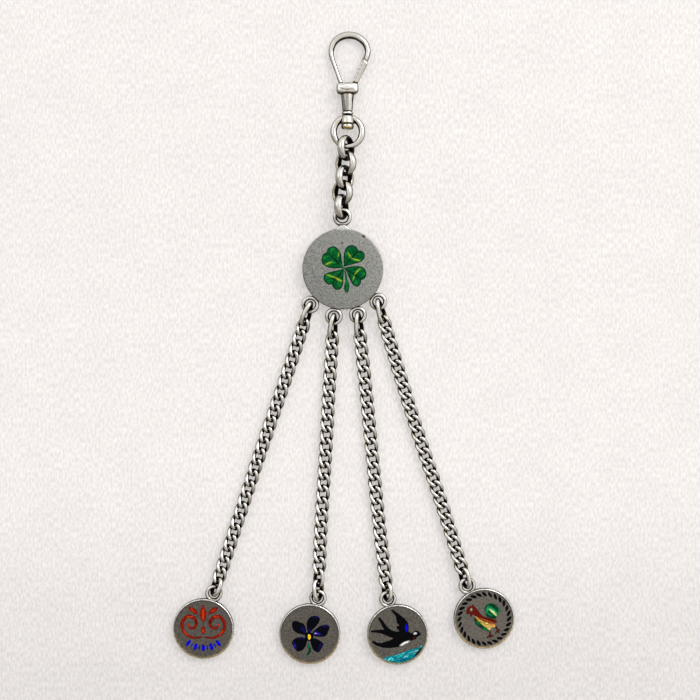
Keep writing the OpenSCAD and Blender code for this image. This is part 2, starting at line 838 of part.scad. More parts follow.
// Head, neck and back of the rooster, from the comb down the face and along the back to the tail
module rooster_body(gap) {
    patch([
        [-2.4, 2.92], [-2.65, 2.5], [-2.95, 2.65], [-3.15, 2.3], [-3.4, 2.3], [-3.35, 1.9], [-3.65, 1.7], [-3.5, 1.4],
        [-3.6, 1.15], [-3.25, 1], [-2.95, 1.15], [-2.75, 0.6], [-2.55, 0.5], [-2.4, 0.95], [-1.85, 0.78],
        [-1.3, 0.36], [-0.5, -0.1], [0.6, -0.52], [1.6, -0.78], [2.5, -0.72], [2.2, -0.5], [2.45, -0.35],
        [1.6, 0], [0.6, 0.2], [-0.3, 0.5], [-0.95, 1.2], [-1.4, 1.9], [-2, 2.5]
    ], gap);
}

module rooster_breast(gap) {
    patch(closed_curve([
        [-1.75, 0.35], [-1.5, -0.25], [-1.2, -0.65], [-0.5, -1.35], [0.45, -1.95], [1.05, -2.1], [1.4, -1.7],
        [2.1, -1.6], [1.95, -1.2], [1.2, -1.05], [0.2, -0.75], [-0.7, -0.38], [-1.35, 0.1]
    ], 2), gap);
}

// Green edge under the breast
module rooster_belly(gap) {
    patch([
        [-2, 0.25], [-1.98, -0.5], [-1.55, -1.25], [-0.7, -1.9], [0.25, -2.38], [0.9, -2.55], [1, -2.35],
        [0.3, -2.14], [-0.6, -1.62], [-1.36, -0.86], [-1.7, -0.3], [-1.84, 0.2]
    ], gap);
}

module rooster_tail(gap) {
    patch([
        [0.5, 0.5], [1.1, 0.3], [1.75, 0.16], [2.3, 0.08], [2.4, 0.5], [2.95, 0.9], [2.65, 1.3], [3.45, 1.75],
        [2.85, 2.15], [2.3, 2.8], [1.7, 3.12], [1, 3.15], [0.4, 2.8], [0.08, 2.15], [0.12, 1.3]
    ], gap);
}

module rooster_legs(gap) {
    patch([
        [1.04, -2.72], [1.06, -3.2], [0.45, -3.7], [0.58, -3.86], [1.1, -3.48], [1.16, -3.84], [1.36, -3.8],
        [1.34, -3.46], [1.72, -3.58], [1.8, -3.4], [1.3, -3.2], [1.28, -2.72]
    ], gap);
    patch([
        [2.28, -1.8], [2.58, -2.26], [2.14, -2.82], [2.3, -2.96], [2.7, -2.54], [2.88, -2.92], [3.04, -2.82],
        [2.86, -2.42], [3.18, -2.36], [3.18, -2.16], [2.82, -2.18], [2.5, -1.7]
    ], gap);
}

// Ring of slanted leaves round the edge of the charm
module wreath(gap) {
    leaves = 28;
    ring_r = 4.98;
    slant = 50;
    for (k = [0 : leaves - 1])
        rotate(360 * k / leaves)
            translate([ring_r, 0])
                rotate(slant)
                    patch(leaf_outline(1.25, 0.52, 10), gap);
}

clip_hook();
clip_lever();
swivel_eye();
upper_link(1);  // upper_link_1
upper_link(2);  // upper_link_2
upper_link(3);  // upper_link_3
upper_link(4);  // upper_link_4
upper_link(5);  // upper_link_5
main_disc();
clover_enamel();
hanger_link(1);  // hanger_link_1
hanger_link(2);  // hanger_link_2
hanger_link(3);  // hanger_link_3
hanger_link(4);  // hanger_link_4
curb_chain(1);  // curb_chain_1
curb_chain(2);  // curb_chain_2
curb_chain(3);  // curb_chain_3
curb_chain(4);  // curb_chain_4
drop_link(1);  // drop_link_1
drop_link(2);  // drop_link_2
drop_link(3);  // drop_link_3
drop_link(4);  // drop_link_4
drop_disc(1);  // drop_disc_1
drop_disc(2);  // drop_disc_2
drop_disc(3);  // drop_disc_3
drop_disc(4);  // drop_disc_4
drop_enamel(1, RED) scrolls(enamel_gap);  // scroll_enamel
drop_enamel(1, BLUE) spray(enamel_gap);  // spray_enamel
drop_enamel(2, VIOLET) petals(enamel_gap);  // petal_enamel
drop_enamel(2, YELLOW) flower_eye(enamel_gap);  // flower_eye_enamel
drop_enamel(2, GREEN) flower_stem(enamel_gap);  // flower_stem_enamel
drop_enamel(3, BLACK) swallow(enamel_gap);  // swallow_enamel
drop_enamel(3, TEAL) wave(enamel_gap);  // wave_enamel
drop_enamel(4, BROWN) rooster_body(enamel_gap);  // rooster_body_enamel
drop_enamel(4, GOLD) rooster_breast(enamel_gap);  // rooster_breast_enamel
drop_enamel(4, GREEN) rooster_belly(enamel_gap);  // rooster_belly_enamel
drop_enamel(4, GREEN) rooster_tail(enamel_gap);  // rooster_tail_enamel
drop_enamel(4, BROWN) rooster_legs(enamel_gap);  // rooster_legs_enamel
drop_enamel(4, BLACK) wreath(enamel_gap);  // wreath_enamel
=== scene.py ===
"""Finished watch fob, lying flat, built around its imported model.

Sizes are in millimetres until a mesh is made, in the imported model's own frame: X runs to the right, Y
towards the clip and Z up from the surface.
"""

from __future__ import annotations

import logging
import math
from dataclasses import dataclass, field
from enum import Enum
from typing import Callable, Sequence

import bpy
import numpy as np
from bpy.types import ID, Material, Mesh, MeshVertex, Node, NodeSocket, NodeTree, Object
from mathutils import Matrix, Vector
from mathutils.bvhtree import BVHTree
from mathutils.geometry import delaunay_2d_cdt

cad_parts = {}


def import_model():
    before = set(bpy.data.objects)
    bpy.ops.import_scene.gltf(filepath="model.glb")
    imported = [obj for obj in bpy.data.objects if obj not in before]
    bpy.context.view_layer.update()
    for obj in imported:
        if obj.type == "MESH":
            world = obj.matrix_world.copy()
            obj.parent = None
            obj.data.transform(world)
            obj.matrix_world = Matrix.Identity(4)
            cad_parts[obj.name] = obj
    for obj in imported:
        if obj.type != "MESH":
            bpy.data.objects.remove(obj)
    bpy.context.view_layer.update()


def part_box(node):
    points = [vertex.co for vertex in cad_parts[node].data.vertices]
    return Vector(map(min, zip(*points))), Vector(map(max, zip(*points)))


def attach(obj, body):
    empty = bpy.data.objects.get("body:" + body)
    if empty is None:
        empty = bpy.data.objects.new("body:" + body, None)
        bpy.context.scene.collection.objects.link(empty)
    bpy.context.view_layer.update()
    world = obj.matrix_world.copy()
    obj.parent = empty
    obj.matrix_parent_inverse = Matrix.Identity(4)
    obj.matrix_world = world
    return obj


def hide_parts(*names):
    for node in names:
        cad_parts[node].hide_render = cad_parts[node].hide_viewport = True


LOG = logging.getLogger("watch_fob")
MM = 0.001
Colour = Place = tuple[float, float, float]
Faces = list[tuple[int, ...]]
Points = np.ndarray


class Body(str, Enum):
    """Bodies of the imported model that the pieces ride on."""

    FOB = "fob"
    CLIP = "clip"
    LEVER = "lever"


class Side(Enum):
    """Side of a lower connecting link that stands high, seen with the large charm above."""

    RIGHT = "right"
    LEFT = "left"


# Curves and outlines


def unit(vector: Points) -> Points:
    """Return the vector at length one."""
    return vector / np.linalg.norm(vector)


def ease(value: float) -> float:
    """Return a value from 0 to 1 with a soft start and end."""
    return value * value * (3 - 2 * value)


def between(value: float, start: float, end: float) -> float:
    """Return how far a value is from a start to an end, from 0 to 1, softly."""
    return ease(min(1.0, max(0.0, (value - start) / (end - start))))


def swell(value: Points, roundness: float) -> Points:
    """Return a sine or cosine made fuller, as on an oval between an ellipse and a rectangle."""
    return np.sign(value) * np.abs(value) ** (2 / roundness)


def spline(points: Sequence[Sequence[float]], steps: int, closed: bool = True) -> Points:
    """Draw a smooth curve through points.

    Args:
        points: Rows of two or more columns, all of which are smoothed.
        steps: Steps from each point to the next.
        closed: Whether the curve returns to its first point.

    Returns:
        The curve's points, the last one included where it is open.
    """
    rows = np.asarray(points, float)
    count = len(rows)
    if closed:
        rows = np.vstack([rows[-1:], rows, rows[:2]])
    else:
        rows = np.vstack([2 * rows[0] - rows[1], rows, 2 * rows[-1] - rows[-2]])
    out = []
    for index in range(1, count + (1 if closed else 0)):
        p, q, r, s = rows[index - 1 : index + 3]
        for step in range(steps):
            t = step / steps
            inner = (2 * p - 5 * q + 4 * r - s) + t * (3 * q - p - 3 * r + s)
            out.append(q + t / 2 * ((r - p) + t * inner))
    if not closed:
        out.append(rows[count])
    return np.array(out)


def inset(loop: Points, distance: float, limit: float = 0.35) -> Points:
    """Draw an anticlockwise loop in by a distance, with a limit on how far a sharp corner moves."""
    before = loop - np.roll(loop, 1, axis=0)
    after = np.roll(loop, -1, axis=0) - loop
    before /= np.linalg.norm(before, axis=1)[:, None]
    after /= np.linalg.norm(after, axis=1)[:, None]
    both = before + after
    side = np.stack([-both[:, 1], both[:, 0]], axis=1)
    spread = np.maximum(limit, 1 + np.sum(before * after, axis=1))
    return loop + distance * side / spread[:, None]


def stroke(points: Sequence[Sequence[float]], ends: float, middle: float, steps: int = 6) -> Points:
    """Outline a brush stroke along a curve, from one width at its ends to another at its middle."""
    path = spline(points, steps, closed=False)
    way = np.gradient(path, axis=0)
    way /= np.linalg.norm(way, axis=1)[:, None]
    half = (ends + (middle - ends) * np.sin(np.linspace(0, math.pi, len(path)))) / 2
    side = np.stack([way[:, 1], -way[:, 0]], axis=1) * half[:, None]
    return np.vstack([path + side, (path - side)[::-1]])


def all_round(count: int) -> Points:
    """Return angles spread evenly over a turn, in radians."""
    return np.linspace(0, 2 * math.pi, count, endpoint=False)


def ellipse(length: float, width: float, count: int) -> Points:
    """Return an anticlockwise ellipse round the origin."""
    turn = all_round(count)
    return np.stack([length / 2 * np.cos(turn), width / 2 * np.sin(turn)], axis=1)


def circle(radius: Points | float, count: int) -> Points:
    """Return a level circle round the origin, with one radius or one for each point."""
    turn = all_round(count)
    return np.stack([radius * np.cos(turn), radius * np.sin(turn), 0 * turn], axis=1)


def turned(points: Points, degrees: float, shift: Sequence[float] = (0, 0)) -> Points:
    """Turn flat points anticlockwise about the origin, then shift them."""
    angle = math.radians(degrees)
    turn = np.array([[math.cos(angle), math.sin(angle)], [-math.sin(angle), math.cos(angle)]])
    return np.asarray(points, float) @ turn + np.asarray(shift, float)


def axes(first: Points, second: Points) -> tuple[Points, Points, Points]:
    """Return three square directions: level to the right, towards the first point, and above."""
    along = unit(first - second)
    right = unit(np.cross(along, [0, 0, 1]))
    return right, along, np.cross(right, along)


def twisted_oval(
    first: Points, second: Points, width: float, leans: tuple[float, float], roundness: float, count: int
) -> Points:
    """Loop of wire between two end points, whose strands lean by one angle at each end.

    Args:
        first: Middle of the wire at the first end.
        second: Middle of the wire at the second end.
        width: Distance between the middles of the two strands.
        leans: Angle of the strands at the first and the second end, in degrees, from the right when one
            looks towards the first end.
        roundness: 2 for an ellipse, more for a fuller oval.
        count: Points round the loop.

    Returns:
        The loop's points.
    """
    middle = (first + second) / 2
    half = np.linalg.norm(first - second) / 2
    right, along, high = axes(first, second)
    turn = all_round(count)
    run = swell(np.cos(turn), roundness)
    side = width / 2 * swell(np.sin(turn), roundness)
    lean = np.radians(sum(leans) / 2 + (leans[0] - leans[1]) / 2 * run)
    return (
        middle
        + np.outer(half * run, along)
        + np.outer(side * np.cos(lean), right)
        + np.outer(side * np.sin(lean), high)
    )


def wall_distance(points: Points, loop: Points) -> Points:
    """Return the distance of flat points to the nearest side of a loop, negative outside it."""
    start = loop[None, :, :]
    way = np.roll(loop, -1, axis=0)[None, :, :] - start
    out = points[:, None, :] - start
    share = np.clip(np.sum(out * way, axis=2) / np.sum(way * way, axis=2), 0, 1)
    near = np.min(np.linalg.norm(out - share[:, :, None] * way, axis=2), axis=1)
    below = start[:, :, 1] <= points[:, None, 1]
    above = np.roll(below, -1, axis=1) != below
    rise = np.where(way[:, :, 1] == 0, 1, way[:, :, 1])
    cross = start[:, :, 0] + (points[:, None, 1] - start[:, :, 1]) / rise * way[:, :, 0]
    inside = np.sum(above & (points[:, None, 0] < cross), axis=1) % 2 == 1
    return np.where(inside, near, -near)


def signed_area(loop: Points) -> float:
    """Return the area of a loop, positive where it runs anticlockwise."""
    after = np.roll(loop, -1, axis=0)
    return float(np.sum(loop[:, 0] * after[:, 1] - after[:, 0] * loop[:, 1]) / 2)


def finer(loop: Sequence[Sequence[float]], spacing: float) -> Points:
    """Return an anticlockwise loop with its sides cut into short ones."""
    rows = np.array(loop, float)
    if signed_area(rows) <= 0:
        rows = rows[::-1]
    out = []
    for start, end in zip(rows, np.roll(rows, -1, axis=0)):
        count = max(1, int(np.linalg.norm(end - start) / spacing))
        out += [start + (end - start) * step / count for step in range(count)]
    return np.array(out)


# Meshes


def in_scene(name: str, data: ID) -> Object:
    """Put a mesh, light or camera into the scene as a new object."""
    made = bpy.data.objects.new(name, data)
    bpy.context.scene.collection.objects.link(made)
    return made


def store(mesh: Mesh, label: str, kind: str, values: Points) -> None:
    """Store a value for each vertex on a mesh, under a label."""
    slot = "color" if kind == "FLOAT_COLOR" else "value"
    attribute = mesh.attributes.new(label, kind, "POINT")
    attribute.data.foreach_set(slot, np.asarray(values, bool if kind == "BOOLEAN" else np.float32).ravel())


@dataclass
class Shape:
    """Vertices, faces and values for each vertex, before they become a mesh."""

    points: Points
    faces: Faces
    values: dict[str, Points] = field(default_factory=dict)

    def placed(self, place: Matrix) -> Shape:
        """Return the shape moved by a matrix."""
        turn = np.array(place.to_3x3())
        return Shape(self.points @ turn.T + np.array(place.translation), self.faces, self.values)

    def plus(self, other: Shape) -> Shape:
        """Return both shapes as one. Both have the same values."""
        shift = len(self.points)
        faces = self.faces + [tuple(corner + shift for corner in face) for face in other.faces]
        values = {name: np.concatenate([self.values[name], other.values[name]]) for name in self.values}
        return Shape(np.vstack([self.points, other.points]), faces, values)

    @property
    def away(self) -> Points:
        """Return the distance of each point from the Z axis."""
        return np.hypot(self.points[:, 0], self.points[:, 1])

    def object(self, name: str, material: Material) -> Object:
        """Make the Blender object, smooth shaded, with its values as attributes.

        Args:
            name: Name of the object.
            material: Finish of all its faces.

        Returns:
            The object, at the origin.
        """
        mesh = bpy.data.meshes.new(name)
        mesh.from_pydata((self.points * MM).tolist(), [], self.faces)
        for label, value in self.values.items():
            if value.ndim == 1:
                store(mesh, label, "FLOAT", value)
            else:
                store(mesh, label, "FLOAT_COLOR", np.concatenate([value, np.ones((len(value), 1))], axis=1))
        mesh.shade_smooth()
        mesh.materials.append(material)
        return in_scene(name, mesh)


def revolve(profile: Sequence[Sequence[float]], count: int, closed: bool = False) -> Shape:
    """Turn a profile round Z.

    Args:
        profile: Rows of radius and height. A radius of 0 closes an end with one point.
        count: Number of sides.
        closed: Whether the last row joins the first, as on a ring.

    Returns:
        The shape, with the value "inner" at 0.
    """
    points, rings = [], []
    turns = all_round(count)
    for radius, height in profile:
        start = len(points)
        if radius == 0:
            points.append((0, 0, height))
            rings.append([start] * count)
        else:
            points += [(radius * math.cos(turn), radius * math.sin(turn), height) for turn in turns]
            rings.append(list(range(start, start + count)))
    faces = []
    for low, high in zip(rings, rings[1:] + (rings[:1] if closed else [])):
        for k in range(count):
            face = (low[k], low[(k + 1) % count], high[(k + 1) % count], high[k])
            faces.append(tuple(dict.fromkeys(face)))
    return Shape(np.array(points, float), faces, {"inner": np.zeros(len(points))})


def softened(profile: Sequence[Sequence[float]], radius: float, steps: int = 3) -> list[tuple[float, float]]:
    """Round the inner corners of an open profile."""
    rows = [np.array(row, float) for row in profile]
    out = [tuple(rows[0])]
    for before, corner, after in zip(rows, rows[1:], rows[2:]):
        reach = min(radius, np.linalg.norm(before - corner) / 2.2, np.linalg.norm(after - corner) / 2.2)
        start = corner + unit(before - corner) * reach
        end = corner + unit(after - corner) * reach
        for step in range(steps + 1):
            t = step / steps
            out.append(tuple((1 - t) ** 2 * start + 2 * t * (1 - t) * corner + t * t * end))
    out.append(tuple(rows[-1]))
    return out


def filled(loop: Points, spacing: float) -> tuple[Points, Faces]:
    """Fill an anticlockwise loop with triangles of an even size.

    Args:
        loop: Outline, whose points stay the first ones.
        spacing: Size of the triangles.

    Returns:
        The points and the triangles.
    """
    low, high = loop.min(axis=0), loop.max(axis=0)
    across, up = np.meshgrid(
        np.arange(low[0], high[0] + spacing, spacing), np.arange(low[1], high[1] + spacing, spacing * 0.87)
    )
    across[1::2] += spacing / 2
    grid = np.stack([across.ravel(), up.ravel()], axis=1)
    grid = grid[wall_distance(grid, loop) > spacing * 0.45]
    points = np.vstack([loop, grid])
    edges = [(k, (k + 1) % len(loop)) for k in range(len(loop))]
    made = delaunay_2d_cdt([Vector(point) for point in points], edges, [], 1, 1e-7)
    return np.array([tuple(point) for point in made[0]]), [tuple(face) for face in made[2]]


def filled_deep(outline: Points, spacing: float) -> tuple[Points, Faces, Points]:
    """Fill a loop, and return the points, the triangles and the points' distance from the loop."""
    points, faces = filled(outline, spacing)
    depth = np.maximum(wall_distance(points, outline), 0)
    depth[: len(outline)] = 0
    return points, faces, depth


def plate(
    outline: Points,
    thickness: float,
    edge: float,
    spacing: float,
    relief: Callable[[Points], Points] | None = None,
    border: float = 0.06,
) -> Shape:
    """Build a flat plate with rounded edges, centred on Z = 0.

    Args:
        outline: Anticlockwise outline.
        thickness: Thickness of the plate.
        edge: Radius of its edges.
        spacing: Size of the triangles on its faces.
        relief: Height to add to the points of the upper face.
        border: Width of the flat strip between the rounded edge and the face's own points.

    Returns:
        The plate, with the value "inner" at 0.
    """
    bends = np.radians([90, 65, 40, 20, 0])
    count, start = len(outline), 0

    def band(base: int) -> Faces:
        """Return the faces from the ring before to the ring that starts at a point's number."""
        steps = [(k, (k + 1) % count) for k in range(count)]
        return [(start + k, base + k, base + after, start + after) for k, after in steps]

    upper, faces = filled(inset(outline, edge + border), spacing)
    height = np.full(len(upper), thickness / 2)
    if relief is not None:
        height[count:] += relief(upper[count:])
    points = [np.column_stack([upper, height])]
    levels = [(edge * (1 - math.cos(bend)), thickness / 2 - edge * (1 - math.sin(bend))) for bend in bends]
    levels += [(depth, -level) for depth, level in reversed(levels)]
    for depth, level in levels:
        base = sum(len(part) for part in points)
        points.append(np.column_stack([inset(outline, depth), np.full(count, level)]))
        faces += band(base)
        start = base
    lower, lower_faces = filled(inset(outline, edge + border), spacing * 3)
    base = sum(len(part) for part in points)
    points.append(np.column_stack([lower, np.full(len(lower), -thickness / 2)]))
    faces += [tuple(base + corner for corner in reversed(face)) for face in lower_faces]
    faces += band(base)
    whole = np.vstack(points)
    return Shape(whole, faces, {"inner": np.zeros(len(whole))})


# Node trees


class Tree:
    """Short way of adding and linking nodes."""

    def __init__(self, tree: NodeTree) -> None:
        """Work on a node tree."""
        self.tree = tree

    def add(self, kind: str, settings: dict | None = None, **inputs: object) -> Node:
        """Add a node.

        Args:
            kind: Type of the node.
            settings: Properties of the node.
            **inputs: Value or socket for each input, by its name with _ for a space, or by its place as
                in _0.

        Returns:
            The node.
        """
        node = self.tree.nodes.new(kind)
        for label, value in (settings or {}).items():
            setattr(node, label, value)
        return self.feed(node, **inputs)

    def feed(self, node: Node, **inputs: object) -> Node:
        """Give a node its inputs, named as in add, and return it."""
        for label, value in inputs.items():
            if label[1:].isdigit():
                socket = node.inputs[int(label[1:])]
            else:
                socket = node.inputs[label.replace("_", " ")]
            if isinstance(value, NodeSocket):
                self.tree.links.new(value, socket)
            else:
                socket.default_value = value
        return node

    def math(self, operation: str, first: object, second: object, clamp: bool = True) -> NodeSocket:
        """Return the result of a sum on two numbers, kept between 0 and 1 where it is clamped."""
        kind = "ShaderNodeMath"
        return self.add(kind, {"operation": operation, "use_clamp": clamp}, _0=first, _1=second).outputs[0]

    def attribute(self, label: str) -> NodeSocket:
        """Return the number that the mesh carries under a label, 0 where it has none."""
        return self.add("ShaderNodeAttribute", {"attribute_name": label}).outputs["Fac"]

    def object_place(self) -> NodeSocket:
        """Return the place on the object."""
        return self.add("ShaderNodeTexCoord").outputs["Object"]

    def carried(self, label: str, kind: str) -> NodeSocket:
        """Return the value that the geometry's points carry under a label."""
        return self.add("GeometryNodeInputNamedAttribute", {"data_type": kind}, Name=label).outputs[0]

    def bump(self, height: object, depth: float, strength: float = 1.0) -> NodeSocket:
        """Return the normal of a surface with relief of a depth in millimetres."""
        return self.add("ShaderNodeBump", Height=height, Distance=depth * MM, Strength=strength).outputs[0]

    def noise(self, place: object, size: float, detail: float) -> NodeSocket:
        """Return noise with patches of a size in millimetres."""
        made = self.add("ShaderNodeTexNoise", Vector=place, Scale=1 / (size * MM), Detail=detail)
        return made.outputs["Fac"]

    def spread(self, noise: object, first: object, last: float) -> NodeSocket:
        """Return noise mapped to a range, from the values that most of it lies between."""
        return self.ramp(noise, 0.3, 0.7, first, last)

    def scaled(self, tint: object, factor: object) -> NodeSocket:
        """Return a colour made brighter or darker by a factor."""
        return self.add("ShaderNodeVectorMath", {"operation": "SCALE"}, _0=tint, Scale=factor).outputs[0]

    def blend(self, share: object, first: object, second: object) -> NodeSocket:
        """Return a mix of two colours."""
        settings = {"data_type": "RGBA", "clamp_factor": True}
        return self.add("ShaderNodeMix", settings, _0=share, _6=first, _7=second).outputs[2]

    def ramp(
        self, value: object, low: float, high: float, first: object = 0.0, last: float = 1.0
    ) -> NodeSocket:
        """Return a value mapped smoothly from one range to another."""
        settings = {"interpolation_type": "SMOOTHSTEP"}
        inputs = {"_0": value, "_1": low, "_2": high, "_3": first, "_4": last}
        return self.add("ShaderNodeMapRange", settings, **inputs).outputs[0]


def made_plain(source: Object) -> Object:
    """Keep what an object's modifiers make of it as its plain mesh, and remove them."""
    graph = bpy.context.evaluated_depsgraph_get()
    mesh = bpy.data.meshes.new_from_object(source.evaluated_get(graph), depsgraph=graph)
    source.modifiers.clear()
    source.data = mesh
    return source


class SweepTree:
    """Geometry Nodes trees that sweep a round wire along a path, once or on each link of a chain."""

    def __init__(self) -> None:
        """Build both trees."""
        self.wire = self._wire_tree()
        self.chain = self._chain_tree()

    @staticmethod
    def _interface(name: str, sockets: dict[str, str]) -> NodeTree:
        """Start a tree with a geometry input and output and the named inputs."""
        tree = bpy.data.node_groups.new(name, "GeometryNodeTree")
        tree.interface.new_socket("Geometry", in_out="INPUT", socket_type="NodeSocketGeometry")
        for label, kind in sockets.items():
            tree.interface.new_socket(label, in_out="INPUT", socket_type=kind)
        tree.interface.new_socket("Geometry", in_out="OUTPUT", socket_type="NodeSocketGeometry")
        return tree

    @staticmethod
    def _swept(nodes: Tree, path: object, sides: object, middle: object) -> NodeSocket:
        """Add the nodes that sweep a path of edges and mark the side that faces the loop's middle.

        Args:
            nodes: Tree that the nodes go into.
            path: Socket with the path, whose points carry the wire's radius as "radius_m".
            sides: Socket with the number of sides.
            middle: Socket with the point that counts as the inside.

        Returns:
            The socket with the wire's mesh, which carries the value "inner".
        """
        curve = nodes.add("GeometryNodeMeshToCurve", _0=path).outputs[0]
        radius = nodes.carried("radius_m", "FLOAT")
        profile = nodes.add("GeometryNodeCurvePrimitiveCircle", Resolution=sides, Radius=1.0).outputs[0]
        tube = nodes.add(
            "GeometryNodeCurveToMesh", Curve=curve, Profile_Curve=profile, Scale=radius, Fill_Caps=True
        )
        place = nodes.add("GeometryNodeInputPosition").outputs[0]
        facing = nodes.add("GeometryNodeInputNormal").outputs[0]
        inward = nodes.add("ShaderNodeVectorMath", {"operation": "SUBTRACT"}, _0=middle, _1=place).outputs[0]
        toward = nodes.add("ShaderNodeVectorMath", {"operation": "NORMALIZE"}, _0=inward).outputs[0]
        share = nodes.add("ShaderNodeVectorMath", {"operation": "DOT_PRODUCT"}, _0=facing, _1=toward)
        stored = nodes.add(
            "GeometryNodeStoreNamedAttribute",
            {"data_type": "FLOAT", "domain": "POINT"},
            Geometry=tube.outputs[0],
            Name="inner",
            Value=share.outputs["Value"],
        )
        return stored.outputs[0]

    @staticmethod
    def _finish(nodes: Tree, geometry: object, material: object) -> None:
        """Add the last nodes: instances made real, smooth shading, material and output."""
        real = nodes.add("GeometryNodeRealizeInstances", Geometry=geometry).outputs[0]
        smooth = nodes.add("GeometryNodeSetShadeSmooth", Geometry=real).outputs[0]
        dressed = nodes.add("GeometryNodeSetMaterial", Geometry=smooth, Material=material).outputs[0]
        nodes.add("NodeGroupOutput", Geometry=dressed)

    def _wire_tree(self) -> NodeTree:
        """Build the tree for a single wire."""
        sockets = {"Sides": "NodeSocketInt", "Middle": "NodeSocketVector", "Finish": "NodeSocketMaterial"}
        tree = self._interface("Swept wire", sockets)
        nodes = Tree(tree)
        given = nodes.add("NodeGroupInput").outputs
        wire = self._swept(nodes, given["Geometry"], given["Sides"], given["Middle"])
        self._finish(nodes, wire, given["Finish"])
        return tree

    def _chain_tree(self) -> NodeTree:
        """Build the tree that sets a swept link on each point, and another link on the last one."""
        sockets = {
            "Sides": "NodeSocketInt",
            "Link": "NodeSocketObject",
            "Last Link": "NodeSocketObject",
            "Finish": "NodeSocketMaterial",
        }
        tree = self._interface("Chain of links", sockets)
        nodes = Tree(tree)
        given = nodes.add("NodeGroupInput").outputs
        turn = nodes.carried("turn", "QUATERNION")
        last = nodes.carried("last", "BOOLEAN")
        other = nodes.add("FunctionNodeBooleanMath", {"operation": "NOT"}, _0=last).outputs[0]
        sets = []
        for label, chosen in (("Link", other), ("Last Link", last)):
            path = nodes.add("GeometryNodeObjectInfo", Object=given[label]).outputs["Geometry"]
            link = self._swept(nodes, path, given["Sides"], (0.0, 0.0, 0.0))
            placed = nodes.add(
                "GeometryNodeInstanceOnPoints",
                Points=given["Geometry"],
                Selection=chosen,
                Instance=link,
                Rotation=turn,
            )
            sets.append(placed.outputs[0])
        both = nodes.add("GeometryNodeJoinGeometry")
        for item in sets:
            tree.links.new(item, both.inputs[0])
        self._finish(nodes, both.outputs[0], given["Finish"])
        return tree

    @staticmethod
    def run(source: Object, tree: NodeTree, inputs: dict[str, object]) -> Object:
        """Run a tree on an object and keep the result as a plain mesh.

        Args:
            source: Object that the tree works on. Its mesh is replaced.
            tree: The tree.
            inputs: Value of each named input.

        Returns:
            The same object, with the plain mesh and no modifier.
        """
        modifier = source.modifiers.new("Nodes", "NODES")
        modifier.node_group = tree
        for item in tree.interface.items_tree:
            if item.in_out == "INPUT" and item.name in inputs:
                modifier[item.identifier] = inputs[item.name]
        return made_plain(source)


def path_object(name: str, path: Points, wire: Points | float, closed: bool) -> Object:
    """Make an object of edges along a path, whose points carry the wire's radius.

    Args:
        name: Name of the object.
        path: Points along the middle of the wire.
        wire: Diameter of the wire, or one for each point.
        closed: Whether the path is a loop.

    Returns:
        The object.
    """
    mesh = bpy.data.meshes.new(name)
    count = len(path)
    edges = [(k, (k + 1) % count) for k in range(count if closed else count - 1)]
    mesh.from_pydata((path * MM).tolist(), edges, [])
    store(mesh, "radius_m", "FLOAT", np.broadcast_to(np.asarray(wire, float) / 2 * MM, (count,)))
    return in_scene(name, mesh)


def joined(name: str, parts: Sequence[Object]) -> Object:
    """Join objects into the first one, which takes the name."""
    keeper = parts[0]
    with bpy.context.temp_override(active_object=keeper, selected_editable_objects=list(parts)):
        bpy.ops.object.join()
    keeper.name = name
    keeper.data.name = name
    return keeper


def move(made: Object, place: Matrix) -> Object:
    """Apply a place given in millimetres to an object's mesh."""
    metric = place.copy()
    metric.translation = place.translation * MM
    made.data.transform(metric)
    return made


# Finishes


def colour(*levels: int) -> Colour:
    """Return the linear colour of a screen colour: red, green and blue from 0 to 255."""
    shares = [level / 255 for level in levels]
    return tuple(part / 12.92 if part <= 0.04045 else ((part + 0.055) / 1.055) ** 2.4 for part in shares)


def new_material(name: str) -> tuple[Material, Tree, Node]:
    """Start a material, and return it with its nodes and its shader."""
    material = bpy.data.materials.new(name)
    material.use_nodes = True
    return material, Tree(material.node_tree), material.node_tree.nodes["Principled BSDF"]


